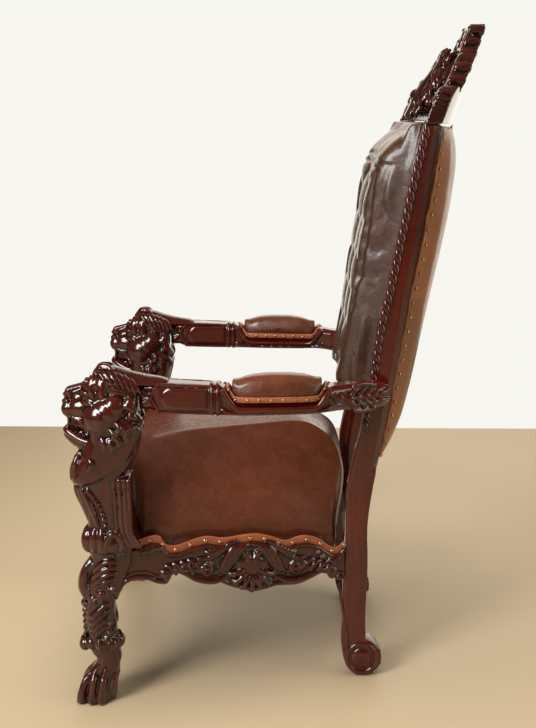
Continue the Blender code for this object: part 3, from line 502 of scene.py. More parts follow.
# %% Mahogany
def mahogany(name, along, hollow_shade_strength=1.0, spread=0.05, painted_light_level=1.0):
    """Lacquered wood whose grain runs along one axis; the pattern is stretched that way."""
    made, tree, edge_and_hollow_masks = new_surface(name, spread, 30.0)
    grain = cloud(tree, 9.0, 0.3, 0.72, tuple(0.7 if axis == along else 9.0 for axis in "XYZ"))
    patch = cloud(tree, 3.0, 0.3, 0.7)
    # The red channel is scaled per piece: painted light makes the plain pieces brighter and redder, painted
    # shade darkens the carving and, most, the crest.
    colour = mix_colour(tree, grain, (0.020 * painted_light_level, 0.0020, 0.0012), (0.078 * painted_light_level, 0.0070, 0.0026))
    colour = mix_colour(tree, patch, colour, (0.036 * painted_light_level, 0.0034, 0.0018))
    # Painted shade: the carving's hollows are darkened nearly to black by the curvature mask.
    dark = math_node(tree, "MULTIPLY", edge_and_hollow_masks["Hollow"], 0.96 * hollow_shade_strength)
    colour = mix_colour(tree, dark, colour, (0.003, 0.0008, 0.0006))
    rub = math_node(tree, "MULTIPLY", edge_and_hollow_masks["Edge"], 0.14)
    colour = mix_colour(tree, rub, colour, (0.14, 0.018, 0.008))
    bump = add_node(tree, "ShaderNodeBump", Strength=0.06, Distance=0.0006, Height=grain)
    finish_surface(tree, Base_Color=colour, Roughness=ramp(tree, patch, 0.0, 1.0, 0.20, 0.30),
                   Specular_IOR_Level=0.20, Coat_Weight=0.80, Coat_Roughness=0.04,
                   Normal=bump.outputs[0])
    return made


# The last number is painted light and shade: above 1 for the plain rear posts and arms, below 1 for the
# carving, the rails and the crest.
CARVED = mahogany("carved mahogany", "Z", 1.0, 0.020, 0.78)
CRESTED = mahogany("crest mahogany", "X", 1.0, 0.020, 0.55)
UPRIGHT = mahogany("upright mahogany", "Z", 0.5, 0.05, 1.15)
LENGTHWISE = mahogany("lengthwise mahogany", "Y", 0.8, 0.025, 1.15)
CROSSWISE = mahogany("crosswise mahogany", "X", 0.9, 0.05, 0.9)
print("wood finishes:", CARVED.name, CRESTED.name, UPRIGHT.name, LENGTHWISE.name, CROSSWISE.name)

# %% [markdown]
# ## Leather
# The hide is dark brown with a soft sheen. Up close it is pebbled, with fine creases between
# the pebbles, and the dye is uneven: redder where it is polished, olive where it is dull. A
# cell pattern gives the pebbles and a cloud gives the dye. Hollows such as the tufts' pits and
# the seams are painted nearly black as shade.

# %% Leather
def leather(name, dull, warm, low=0.40, high=0.62, rough=0.34, pebble=420.0, hollow=0.8):
    made, tree, edge_and_hollow_masks = new_surface(name, 0.08, 24.0)
    place = tree.nodes.new("ShaderNodeTexCoord").outputs["Object"]
    cells = add_node(tree, "ShaderNodeTexVoronoi", {"feature": "DISTANCE_TO_EDGE"}, Vector=place,
                     Scale=pebble)
    crease = ramp(tree, cells.outputs["Distance"], 0.0, 0.16)
    dye, fine = cloud(tree, 3.4, low, high), cloud(tree, 26.0, 0.3, 0.7)
    colour = mix_colour(tree, dye, dull, warm)
    shade = mix_colour(tree, fine, (0.80, 0.80, 0.80), (1.12, 1.10, 1.08))
    colour = mix_colour(tree, 1.0, colour, shade, "MULTIPLY")
    line = mix_colour(tree, crease, (0.62, 0.60, 0.58), (1.0, 1.0, 1.0))
    colour = mix_colour(tree, 1.0, colour, line, "MULTIPLY")
    # Painted shade: hollows are darkened nearly to black by the curvature mask.
    dark = math_node(tree, "MULTIPLY", edge_and_hollow_masks["Hollow"], hollow)
    colour = mix_colour(tree, dark, colour, (0.006, 0.003, 0.002))
    bump = add_node(tree, "ShaderNodeBump", Strength=0.35, Distance=0.0005, Height=crease)
    soft = add_node(tree, "ShaderNodeBump", Strength=0.25, Distance=0.004, Height=fine,
                    Normal=bump.outputs[0])
    finish_surface(tree, Base_Color=colour, Roughness=ramp(tree, fine, 0.0, 1.0, rough - 0.05, rough + 0.09),
                   Specular_IOR_Level=0.35, Coat_Weight=0.30, Coat_Roughness=0.16,
                   Normal=soft.outputs[0])
    return made


SEAT_LEATHER = leather("seat leather", (0.082, 0.024, 0.010), (0.130, 0.028, 0.010), 0.25, 0.80,
                       rough=0.25)
BACK_LEATHER = leather("back leather", (0.044, 0.021, 0.011), (0.058, 0.020, 0.010), 0.25, 0.80,
                       rough=0.22)
REAR_LEATHER = leather("rear leather", (0.260, 0.095, 0.036), (0.360, 0.130, 0.048), rough=0.36)
PAD_LEATHER = leather("arm pad leather", (0.080, 0.026, 0.011), (0.120, 0.030, 0.012), rough=0.25)
BAND_LEATHER = leather("band leather", (0.27, 0.075, 0.028), (0.36, 0.105, 0.040), rough=0.42,
                       pebble=600.0, hollow=0.5)
print("leather finishes:", SEAT_LEATHER.name, BACK_LEATHER.name, PAD_LEATHER.name, BAND_LEATHER.name)

# %% [markdown]
# ## Brass
# The upholsterer's nails have domed brass heads, polished on top and brown with age at the
# rim. The hollow mask tells the two apart.

# %% Brass
def brass(name):
    made, tree, edge_and_hollow_masks = new_surface(name, 0.12, 200.0)
    aged = cloud(tree, 90.0, 0.35, 0.65)
    colour = mix_colour(tree, aged, (0.34, 0.17, 0.07), (0.62, 0.40, 0.20))
    colour = mix_colour(tree, edge_and_hollow_masks["Hollow"], colour, (0.10, 0.05, 0.02))
    finish_surface(tree, Base_Color=colour, Metallic=1.0, Roughness=ramp(tree, aged, 0.0, 1.0, 0.22, 0.38))
    return made


BRASS = brass("aged brass")
print("metal finish:", BRASS.name)

# %% [markdown]
# ## Front posts
# Each front post is one piece of mahogany from the paw foot to the lion's head. The carver
# starts from a shaped block, so the block comes first: a table of heights with the front, the
# rear and the half width. Every leaf and lock is then laid on its skin. The table and the
# patterns are in millimetres of a post 741 high.

# %% The post's block
FRONT_AXIS_X = 0.345
FRONT_AXIS_Y = -0.380
FRONT_POST_HEIGHT = 0.741
POST_PATTERN = 741.0
POST_VOXEL = 0.0022
SKIN_POWER = 0.72
POST_BLOCK = (
    (0, -38, 20, 32), (23, -36, 25, 33), (49, -30, 32, 30), (70, -21, 38, 27),
    (89, -11, 42, 25), (101, -10, 45, 25), (116, -20, 42, 26), (149, -23, 38, 28),
    (177, -28, 36, 30), (199, -29, 34, 31), (231, -24, 35, 32), (243, -24, 44, 32), (256, -24, 52, 33),
    (284, -18, 62, 33), (311, -12, 72, 33), (326, -12, 75, 33), (345, -18, 76, 33),
    (384, -18, 74, 33), (424, -18, 68, 33), (461, -28, 64, 34), (490, -35, 58, 37),
    (505, -35, 60, 40), (520, -28, 72, 44), (549, -15, 88, 46), (581, -6, 96, 48),
    (610, 4, 96, 47), (640, 12, 94, 46), (672, 20, 92, 42), (700, 28, 84, 32),
    (722, 40, 66, 16))


def skin_half(y, height):
    """Half width of the block's skin at a depth and a height."""
    front, rear, half = between(POST_BLOCK, height)
    share = abs(y - (front + rear) / 2) / ((rear - front) / 2)
    share = min(share, 0.995)
    return half * (1 - share ** (2 / SKIN_POWER)) ** (SKIN_POWER / 2)


def post_block(work):
    rings = []
    for height, front, rear, half in smooth(POST_BLOCK, 4):
        rings.append([work(half * signed_power(math.sin(turn), SKIN_POWER),
                           (front + rear) / 2 - (rear - front) / 2 * signed_power(math.cos(turn), SKIN_POWER),
                           height) for turn in turns(48)])
    skin_rings(work.bm, rings)


def relief(work, keys, sides=10):
    """A ridge on both flanks; each key is (depth, height, how proud, radius)."""
    path = [(skin_half(y, height) + proud, y, height, radius) for y, height, proud, radius in keys]
    for half in work.halves():
        tube(half, path, sides=sides)


def stud(work, y, height, proud, radii):
    """A bead or a ball on both flanks."""
    for half in work.halves():
        ball(half, (skin_half(y, height) + proud, y, height), radii, 16, 12)


print("block rows:", len(POST_BLOCK), "half width at the knee:", round(skin_half(10, 284), 1))

# %% [markdown]
# The lion's foot has four toes with deep gaps, and tendons that run up to the ankle. A roll of
# leaves hides the change from fur to leg, and beads and diagonal leaves climb to the knee.

# %% Paw, ankle and lower leaf
def paw(work):
    for x, spread in ((-20, -6), (-7, -2), (7, 2), (20, 6)):
        tube(work, ((x * 0.6, 0, 92, 4), (x * 0.85, -14, 74, 6), (x, -29, 53, 9), (x + spread, -38, 34, 8),
                    (x + spread, -41, 14, 10), (x + spread, -38, 4, 9)))
        ball(work, (x + spread * 0.5, -31, 51), (8, 9, 9))
        tube(work, ((x + spread, -44, 16, 4), (x + spread, -49, 8, 3), (x + spread, -50, 2, 1.5)))
    for y, low in ((-13, -16), (8, 4), (29, 25)):
        relief(work, ((y * 0.6 + 12, 88, -3, 3), (y + 4, 74, -1, 5), (y, 56, 0, 8), (low, 34, 0, 8),
                      (low - 2, 14, 1, 9), (low, 4, 0, 8)))
        stud(work, y, 54, 1, (9, 9, 8))


def ankle_roll(work):
    for x, y in ((-13, -31), (13, -31)):
        ball(work, (x, y, 133), (13, 13, 15))
    ball(work, (0, -34, 137), (9, 10, 12))
    for y, size in ((-16, 13), (6, 14), (28, 13), (44, 9)):
        stud(work, y, 137, -2, (12, size, 14))
        relief(work, ((y - 3, 152, 2, 3), (y - 4, 138, 9, 3.5), (y, 124, 7, 2.5)))
    for y in (-5, 17, 37):
        stud(work, y, 150, 1, (6, 7, 6))


def lower_leaf(work):
    for step in range(6):
        height = 152 + 13 * step
        size = 6.2 - 0.2 * step
        ball(work, (0, -31 - 0.5 * step, height), (size + 1, size, size))
        for half in work.halves():
            ball(half, (11, -30, height + 6), (4.5, 5, 5))
    ball(work, (0, -30, 222), (12, 10, 10))
    for start in (150, 166, 182, 198):
        relief(work, ((-16, start, 0, 3.5), (-8, start + 7, 3, 5), (4, start + 19, 3, 5.5),
                      (18, start + 31, 1, 4), (30, start + 37, -2, 2.5)))
    for y, height, size in ((9, 206, 5), (17, 192, 5), (22, 178, 5.5), (24, 163, 5)):
        stud(work, y, height, 2, (size, size, size))
    relief(work, ((20, 154, 0, 4), (33, 172, 1, 4), (33, 196, 0, 4), (26, 222, 0, 3)))


# %% [markdown]
# The knee carries a long leaf that folds over the front and a scroll with a ball in its eye.
# Above it sits a knuckle of three rolls, where the leg passes the rails.

# %% Knee and knuckle
def knee_scroll(work, y, height, size=17, rounds=0.9, radius=5.0):
    """A scroll on both flanks that winds in to its eye."""
    keys = []
    for share in shares(14):
        angle = math.radians(80) - 2 * math.pi * rounds * share
        reach = size * (1 - 0.72 * share)
        keys.append((y + reach * math.cos(angle), height + reach * math.sin(angle),
                     2 + 2 * share, radius * (1 - 0.35 * share)))
    relief(work, keys)


def knee_leaf(work):
    for x in (-9, 9):
        tube(work, ((x * 0.6, -10, 326, 6), (x, -26, 296, 10), (x, -30, 262, 12), (x * 0.9, -24, 234, 8)))
    tube(work, ((0, -12, 328, 4), (0, -33, 292, 6), (0, -38, 258, 7), (0, -30, 232, 5)))
    relief(work, ((-8, 318, 1, 4), (-19, 290, 2, 6), (-21, 262, 2, 6), (-13, 238, 1, 5)))
    for rear, high, middle, mid_high, front, low, tip, tip_high, size in (
            (44, 324, 24, 326, 4, 314, -8, 298, 5), (46, 312, 26, 312, 4, 300, -10, 284, 5),
            (44, 300, 25, 298, 5, 286, -8, 272, 5), (40, 287, 24, 284, 8, 275, -4, 264, 4.5)):
        relief(work, ((rear, high, 0, 4), (middle, mid_high, 4, size), (front, low, 4, size),
                      (tip, tip_high, 1, 3)))
    knee_scroll(work, 10, 255)
    stud(work, 10, 255, 3, (8, 9, 9))
    stud(work, -4, 239, 2, (5, 6, 6))
    stud(work, 8, 236, 2, (4, 5, 5))
    relief(work, ((32, 268, 1, 5), (40, 250, 1, 5), (38, 234, 0, 4)))


def knuckle(work):
    for x in (-17, 17):
        ball(work, (x, -16, 368), (15, 16, 27))
    ball(work, (0, -17, 372), (12, 15, 25))
    for y in (-2, 14):
        stud(work, y, 370, -3, (13, 12, 28))
    relief(work, ((20, 344, 1, 5), (24, 366, 4, 6), (34, 387, 5, 6.5), (50, 383, 5, 6.5),
                  (56, 364, 4, 6), (52, 346, 3, 5), (42, 334, 1, 4)))
    for turn in (0, 1, 2):
        relief(work, ((28 + 7 * turn, 346, 2, 3), (32 + 6 * turn, 362, 5, 3.5), (38 + 4 * turn, 377, 3, 2.5)))
    stud(work, 57, 341, 1, (5, 6, 6))


# %% [markdown]
# The plain panel over the knuckle is what glows red in the light. A beaded ridge runs down its
# front edge, and three flutes run down its rear and sweep into the rail's moulding.

# %% Panel and flutes
def panel(work):
    for x in (-12, 12):
        tube(work, ((x, -33, 484, 7), (x, -26, 462, 8), (x, -17, 434, 8), (x * 0.8, -10, 404, 6)))
    tube(work, ((0, -40, 492, 6), (0, -38, 470, 8), (0, -24, 436, 8), (0, -12, 400, 6)))
    relief(work, ((-26, 484, 2, 4), (-14, 462, 3, 5), (-2, 434, 3, 5), (8, 400, 1, 4)))
    ridge = smooth(((0, -12, 482), (0.33, 1, 462), (0.66, 13, 438), (1, 22, 404)))
    for share in shares(8):
        stud(work, *between(ridge, share), 1, (4.5, 5 - share, 6 - share))
    batten = ((42, 508), (40, 450), (46, 395), (60, 356), (94, 352), (82, 385), (77, 430), (75, 508))
    pillow(on_flank(work), batten, 34, 5)
    for half in work.halves():
        for top, low, foot in ((42, 47, 66), (53, 58, 78), (64, 68, 88), (73, 76, 96)):
            tube(half, ((34, top, 506, 3.2), (35, (top + low) / 2, 448, 4.2), (35, low, 398, 4.2),
                        (34, (low + foot) / 2, 370, 4.0), (33, foot, 357, 3.2)))


# %% [markdown]
# ## Lion's head
# From the side the head reads as a few clear forms: a square nose bridge, a round nose, an
# open mouth with teeth, one big smooth cheek, two brow folds, and hair that sweeps back over
# the arm. Below the cheek a row of hooked locks ends the mane, and a smooth bust turns into
# the leg with a clean edge. The bust is a pillow: a board whose rim is rounded over.

# %% Pillow form and bust
def pillow(work, outline, half, rim, steps=6):
    """A board with a rim rounded over toward both faces."""
    middle = [sum(axis) / len(outline) for axis in zip(*outline)]
    rings = []
    for step in range(-steps, steps + 1):
        angle = math.radians(88) * step / steps
        inset = rim * (1 - math.cos(angle))
        ring = []
        for point in outline:
            share = max(0.0, 1 - inset / max(math.dist(point, middle), 0.001))
            u, v = (m + (p - m) * share for m, p in zip(middle, point))
            ring.append(work(u, half * math.sin(angle), v))
        rings.append(ring)
    skin_rings(work.bm, rings)


def on_flank(work):
    """The same work with its directions in the order depth, width, height."""
    return work.seen(lambda y, x, z: (x, y, z))


def bust(work):
    rim = ((-24, 568), (-33, 546), (-43, 518), (-46, 492), (-16, 487), (19, 497), (50, 513), (75, 536),
           (89, 559), (98, 585), (100, 614), (92, 640), (60, 655), (0, 640), (-10, 600))
    pillow(on_flank(work), rounded(rim), 50, 26)
    for half in work.halves():
        for keys in (((36, -20, 560, 4), (42, -16, 548, 6), (40, -20, 534, 5), (32, -30, 524, 3)),
                     ((44, -6, 556, 4), (49, 0, 543, 6), (47, -6, 528, 5), (40, -18, 518, 3)),
                     ((24, -34, 556, 4), (30, -36, 538, 6), (26, -42, 516, 4))):
            tube(half, keys)
    for x in (-24, -8, 8, 24):
        tube(work, ((x, -24, 562, 7), (x, -34, 544, 8), (x * 0.9, -42, 522, 8), (x * 0.7, -46, 500, 5)))


# %% Muzzle, jaw and teeth
def muzzle(work):
    ball(work, (0, 22, 668), (43, 56, 50))
    bridge = ((4, 708), (-24, 702), (-53, 694), (-58, 688), (-55, 679), (-46, 668), (-10, 660))
    pillow(on_flank(work), bridge, 15, 5)
    tube(work, ((-11, -55, 678, 3.5), (0, -58, 679, 4.5), (11, -55, 678, 3.5)))
    lips = ((-38, 690), (-48, 668), (-50, 650), (-46, 636), (-30, 626), (-8, 614), (14, 622), (24, 680),
            (-8, 700))
    pillow(on_flank(work), rounded(lips), 27, 20)
    gum = ((-53, 642), (-55, 604), (-10, 590), (10, 600), (10, 645))
    pillow(on_flank(work), gum, 10, 3)
    ball(work, (0, -14, 616), (17, 28, 16))
    for half in work.halves():
        ball(half, (10, -48, 650), (14, 17, 18))
        ball(half, (15, -10, 653), (18, 40, 23), 28, 18)
        tube(half, ((5, -61, 664, 3), (13, -58, 668, 4), (19, -48, 668, 3)))
        tube(half, ((17, -44, 636, 4), (22, -30, 630, 5), (30, -14, 622, 6),
                    (36, -6, 610, 5)))
        tube(half, ((4, -58, 607, 6), (12, -54, 604, 7), (20, -40, 596, 7),
                    (26, -24, 588, 7), (32, -8, 584, 6)))
        tube(half, ((12, -49, 634, 4), (12, -50, 626, 3), (12, -49, 619, 1)))
        tube(half, ((11, -52, 606, 4), (11, -53, 614, 3), (11, -52, 620, 1)))
        for step in range(4):
            ball(half, (15 + 3 * step, -42 + 8 * step, 605 - 3 * step), (3, 3.5, 4.5), 10, 8)
    tube(work, ((0, -52, 596, 12), (0, -36, 586, 18), (0, -10, 580, 27), (0, 20, 580, 34)))
    ball(work, (0, -51, 595), (14, 12, 13))
    tube(work, ((0, -2, 606, 10), (0, -28, 606, 9), (0, -46, 608, 6)), flat=0.6)


# %% Cheeks, brow, eyes and ears
def face(work):
    for half in work.halves():
        ball(half, (22, 21, 637), (38, 40, 39), 32, 24)
        ball(half, (24, 47, 660), (34, 30, 30), 28, 20)
        ball(half, (24, 34, 648), (36, 36, 34), 28, 20)
        ball(half, (36, 80, 668), (15, 15, 15))
        tube(half, ((22, 6, 722, 8), (29, 3, 706, 10), (32, 3, 690, 9), (33, 10, 674, 6)))
        tube(half, ((24, 24, 722, 8), (32, 25, 706, 11), (35, 24, 688, 10), (37, 28, 672, 7)))
        ball(half, (27, 14, 706), (14, 17, 16))
        ball(half, (30, 15, 684), (10, 12, 14))
        tube(half, ((12, -14, 705, 6), (22, -12, 703, 7), (31, -4, 699, 7)))
        ball(half, (29, -9, 680), (7, 9, 7.5))
        tube(half, ((18, -24, 682, 3), (29, -17, 689, 3.5), (36, -3, 686, 3)))
        tube(half, ((18, -24, 674, 3), (31, -14, 669, 3.5), (39, 0, 668, 4),
                    (42, 8, 659, 3)))


# %% [markdown]
# Hair is striated: thin strands lie side by side and sweep from the brow to the rear. The mane
# below the cheek breaks into short hooked locks, each a tapered rod that curls at its tip.

# %% Hair and locks
def hair(work):
    strands = 11
    for half in work.halves():
        for step in range(strands):
            t = step / (strands - 1)
            wide, high = math.sin(math.pi / 2 * t), math.cos(math.pi / 2 * t)
            keys = [(1 + 31 * wide, 4 + 22 * t, 696 + 33 * high, 2.6),
                    (1 + 36 * wide, 24 + 16 * t, 694 + 42 * high, 3.4),
                    (1 + 39 * wide, 50 + 8 * t, 690 + 43 * high, 3.6),
                    (1 + 38 * wide, 80 - 2 * t, 686 + 38 * high, 3.4)]
            if t < 0.62:
                keys += [(1 + 33 * wide, 112, 690 + 27 * high, 3.2),
                         (1 + 29 * wide, 140, 690 + 23 * high, 2.8),
                         (1 + 26 * wide, 157, 688 + 21 * high, 1.5)]
            else:
                keys.append((1 + 37 * wide, 96 - 2 * t, 680 + 30 * high, 2.0))
            tube(half, keys, sides=8)
        for start, high in ((12, 733), (23, 733), (34, 732), (45, 730), (56, 727), (67, 723), (78, 718)):
            tube(half, ((24, start, high, 2.8), (33, start + 9, high - 6, 3.4),
                        (39, start + 19, high - 18, 3.2), (41, start + 26, high - 32, 2.0)), sides=8)
    for half in work.halves():
        tube(half, ((4, 8, 726, 5), (6, 18, 737, 7), (12, 34, 738, 6), (20, 44, 732, 4)))
    ball(work, (0, 52, 696), (35, 42, 36), 28, 20)
    tube(work, ((0, 60, 700, 22), (0, 100, 694, 19), (0, 140, 690, 14)))


def locks(work):
    row = ((-15, 598, 1.0), (-2, 596, 1.1), (12, 592, 1.1), (26, 583, 1.2), (41, 580, 1.3), (55, 590, 1.2),
           (71, 597, 1.2))
    for y, height, size in row:
        relief(work, ((y - 5, height + 14, 1, 4 * size), (y, height + 7, 3, 5.5 * size),
                      (y + 3, height - 1, 3, 5.0 * size), (y + 1, height - 8, 1, 4 * size)))
        relief(work, ((y + 3, height + 12, 1, 3 * size), (y + 8, height + 3, 3, 3.5 * size),
                      (y + 7, height - 5, 1, 3 * size)))
    for y, height, size in ((84, 655, 1.2), (92, 634, 1.5), (90, 612, 1.2)):
        relief(work, ((y - 16, height + 10, 2, 5 * size), (y - 4, height + 6, 7, 6 * size),
                      (y + 4, height - 8, 8, 5.5 * size), (y - 2, height - 22, 4, 3 * size)))
    for y, height in ((60, 620), (74, 612), (48, 606)):
        relief(work, ((y - 8, height + 10, 3, 4), (y, height, 7, 5), (y - 4, height - 12, 4, 3)))


# %% Fuse the front posts
def make_front_posts():
    unit = FRONT_POST_HEIGHT / POST_PATTERN
    work = Work(lambda x, y, z: (FRONT_AXIS_X + x * unit, FRONT_AXIS_Y + y * unit, z * unit), unit)
    for step in (post_block, paw, ankle_roll, lower_leaf, knee_leaf, knuckle, panel, bust, muzzle,
                 face, hair, locks):
        step(work)
    made = new_object("lion_post_left", work.bm, CARVED)
    carve(made, POST_VOXEL, rounds=2)
    keep_below(made, 0.0)
    fit_out_pair(made, "front_post_left")


make_front_posts()
# %% [markdown]
# ## Seat rails
# The rails are boards with a carved face: a shell in the middle, volutes and leaf sprays beside
# it, and a wavy lip along the top that holds a leather band. The board comes from two tables,
# one for each edge, and the carving lies on its outer face.

# %% The seat frame's lines
SEAT_LEDGE = 0.322
SEAT_FALL = 0.040
RAIL_THICKNESS = 0.036
RAIL_LIP = 0.012
RAIL_FRONT = (FRONT_AXIS_X + 0.004, FRONT_AXIS_Y + 0.043)
RAIL_REAR = (0.222, 0.143)
FRONT_RAIL_Y = FRONT_AXIS_Y - 0.006
FRONT_RAIL_END = FRONT_AXIS_X - 0.035
RAIL_VOXEL = 0.0021
BAND_HEIGHT = 0.016
BAND_THICKNESS = 0.0055
GAP = 0.0003
RAIL_TOP = (
    (0.00, 0.020), (0.071, 0.023), (0.122, 0.032), (0.175, 0.035), (0.20, 0.016), (0.25, 0.013),
    (0.31, 0.024), (0.38, 0.033), (0.45, 0.029), (0.53, 0.035), (0.60, 0.038), (0.67, 0.031),
    (0.73, 0.022), (0.80, 0.033), (0.87, 0.028), (0.935, 0.007), (0.97, 0.007), (1.00, 0.022))
RAIL_BOTTOM = (
    (0.00, -0.084), (0.03, -0.070), (0.07, -0.063), (0.12, -0.063), (0.15, -0.070), (0.20, -0.074),
    (0.215, -0.058), (0.24, -0.045), (0.27, -0.048), (0.31, -0.059), (0.38, -0.066), (0.42, -0.067),
    (0.465, -0.078), (0.53, -0.088), (0.58, -0.093), (0.63, -0.090), (0.69, -0.081), (0.78, -0.079),
    (0.84, -0.067), (0.90, -0.052), (0.93, -0.053), (0.955, -0.068), (1.00, -0.070))


def seat_slope(y):
    """How much the seat frame is above or below its middle height."""
    return SEAT_FALL * (0.5 - (y - RAIL_FRONT[1]) / (RAIL_REAR[1] - RAIL_FRONT[1]))


SIDE_RAIL_LENGTH = math.dist(RAIL_FRONT, RAIL_REAR)


def on_side_rail(along, out, height):
    """From the rail's own directions: along it, outward from its middle, above the ledge."""
    run_x = (RAIL_REAR[0] - RAIL_FRONT[0]) / SIDE_RAIL_LENGTH
    run_y = (RAIL_REAR[1] - RAIL_FRONT[1]) / SIDE_RAIL_LENGTH
    y = RAIL_FRONT[1] + run_y * along
    x = RAIL_FRONT[0] + run_x * along + run_y * out
    return x, y - run_x * out, SEAT_LEDGE + height + seat_slope(y)


def on_front_rail(along, out, height):
    ledge = SEAT_LEDGE + seat_slope(RAIL_FRONT[1])
    return FRONT_RAIL_END - along, FRONT_RAIL_Y - out, ledge + height


def rail_edge(table, share):
    return between(smooth(table, 3), share)[0]


print("side rail length:", round(SIDE_RAIL_LENGTH, 3))


# %% Shell, volutes and sprays
def winding(work, centre, size, way, start, thick, out, rounds=1.35, rise=0.002):
    """A volute: a ridge that winds in to a ball."""
    keys = []
    for share in shares(16):
        angle = start + way * 2 * math.pi * rounds * share
        reach = size * (1 - 0.74 * share)
        keys.append((centre[0] + reach * math.cos(angle), out + rise * share,
                     centre[1] + reach * math.sin(angle), thick * (1 - 0.4 * share)))
    tube(work, keys, sides=10, per_span=3)
    ball(work, (centre[0], out + rise, centre[1]), (size * 0.26, thick * 1.3, size * 0.26), 14, 10)


def shell(work, centre, face):
    """The fan shell under three ridges on each side."""
    low = -0.036
    fan = work.seen(lambda a, b, c: (centre + a, face + b, low + c))
    for step in range(7):
        angle = math.radians(-160 + 23.4 * step)
        reach = 0.052 - 0.004 * abs(math.cos(angle))
        across, up = math.cos(angle), math.sin(angle)
        tube(fan, ((0.010 * across, 0.002, 0.014 * up, 0.003),
                   (0.6 * reach * across, 0.008, 0.62 * reach * up, 0.0052),
                   (0.95 * reach * across, 0.004, reach * up, 0.0068)))
        ball(fan, (reach * across, 0.003, reach * up), (0.0075, 0.006, 0.007), 14, 10)
    ball(fan, (0.0, -0.001, 0.004), (0.034, 0.010, 0.030))
    for half in work.halves(centre, face):
        for step in range(3):
            wide = 0.012 * step
            tube(half, ((0.003 + 0.4 * wide, 0.001, 0.012 + 0.001 * step, 0.0036),
                        (0.016 + wide, 0.006, 0.014 - 0.002 * step, 0.0046),
                        (0.031 + 1.1 * wide, 0.006, -0.006 - 0.004 * step, 0.0048),
                        (0.042 + wide, 0.004, -0.026 - 0.004 * step, 0.0044),
                        (0.055 + 0.9 * wide, 0.002, -0.044 - 0.003 * step, 0.0034)), sides=10)
        ball(half, (0.014, 0.004, -0.004), (0.0075, 0.007, 0.0085))
        ball(half, (0.007, 0.006, -0.018), (0.005, 0.006, 0.010))


def rail_sprays(work, centre, face):
    for half in work.halves(centre, face):
        tube(half, ((0.030, 0, 0.024, 0.004), (0.050, 0.004, 0.018, 0.0055), (0.068, 0.004, 0.000, 0.0055),
                    (0.090, 0.002, -0.014, 0.0050), (0.118, 0.001, -0.018, 0.0040)))
        winding(half, (0.100, -0.040), 0.0150, 1, math.radians(90), 0.0048, 0.002)
        for share in shares(4):
            start = 0.052 + 0.030 * share
            tube(half, ((start, 0, 0.004 - 0.012 * share, 0.0028),
                        (start + 0.008, 0.006, 0.010 - 0.014 * share, 0.0046),
                        (start + 0.020, 0.002, 0.012 - 0.012 * share, 0.0022)))
        tube(half, ((0.056, 0, -0.060, 0.004), (0.084, 0.004, -0.068, 0.0058), (0.118, 0.003, -0.064, 0.0055),
                    (0.146, 0.002, -0.050, 0.0045), (0.172, 0, -0.040, 0.0030)))
        for step in range(4):
            start, high = 0.116 + 0.016 * step, -0.020 - 0.004 * step
            tube(half, ((start, 0, high - 0.022, 0.003), (start + 0.006, 0.005, high - 0.008, 0.0048),
                        (start + 0.018, 0.003, high, 0.0036), (start + 0.026, 0, high - 0.003, 0.002)))


# %% Mouldings and end leaves
def wood_top(share):
    """The lip's top edge: the leather band stands on it."""
    return rail_edge(RAIL_TOP, share) - BAND_HEIGHT


def rail_mouldings(work, length, face):
    low = [(share * length, face + 0.001, rail_edge(RAIL_BOTTOM, share) + 0.006, 0.0048)
           for share in shares(60)]
    inner = [(along, out - 0.001, height + 0.011, 0.0026) for along, out, height, radius in low]
    high = [(share * length, face + 0.001, wood_top(share) - 0.004, 0.0048) for share in shares(60)]
    for line in (low, inner, high):
        tube(work, line, sides=8, per_span=1)


def end_leaves(work, length, face):
    for share, side in ((0.195, 1), (0.945, -1)):
        winding(work, (share * length, -0.052), 0.0115, side, math.radians(-90), 0.0040, face + 0.002)
    for share, side in ((0.125, 1), (0.935, -1)):
        for step in range(5):
            along = share * length + side * (-0.022 + 0.011 * step)
            high = wood_top(along / length) - 0.004
            deep = 0.010 + 0.004 * math.sin(math.pi * step / 4)
            tube(work, ((along, face, high, 0.0030),
                        (along + side * 0.004, face + 0.004, high - deep * 0.6, 0.0045),
                        (along + side * 0.011, face + 0.002, high - deep, 0.0026)))


def rail_board(work, length):
    """The board in two layers: a low inner one and the outer one with the lip."""
    face = RAIL_THICKNESS / 2
    low = [(share * length, rail_edge(RAIL_BOTTOM, share)) for share in shares(72)]
    inner = low + [(share * length, -0.002) for share in shares(72)[::-1]]
    outer = low + [(share * length, wood_top(share)) for share in shares(72)[::-1]]
    slab(work, inner, -face, face - RAIL_LIP / 2)
    slab(work, outer, face - RAIL_LIP, face - 0.002)


def make_rail(name, length, rule, middle):
    face = RAIL_THICKNESS / 2 - 0.003
    work = Work(rule)
    rail_board(work, length)
    shell(work, middle * length, face)
    rail_sprays(work, middle * length, face)
    rail_mouldings(work, length, face)
    end_leaves(work, length, face)
    return carve(new_object(name, work.bm, CARVED), RAIL_VOXEL)


def make_rails():
    side = make_rail("shell_rail_left", SIDE_RAIL_LENGTH - GAP, on_side_rail, 0.575)
    fit_out_pair(side, "side_rail_left")
    front = make_rail("shell_rail_front", 2 * FRONT_RAIL_END, on_front_rail, 0.5)
    fit_out(front, "front_rail")


make_rails()

# %% [markdown]
# ## Nail rows
# Brass nails with domed heads hold the leather. A nail row repeats one shape along a path, so
# it is a Geometry Nodes tree: the path becomes a curve, the curve is cut into equal steps, and
# a flattened ball is placed on each. An attribute on the path says which way is outward.

# %% Node tree: nails along a path
def outward_attribute(tree):
    return add_node(tree, "GeometryNodeInputNamedAttribute", {"data_type": "FLOAT_VECTOR"},
                    Name="outward").outputs["Attribute"]


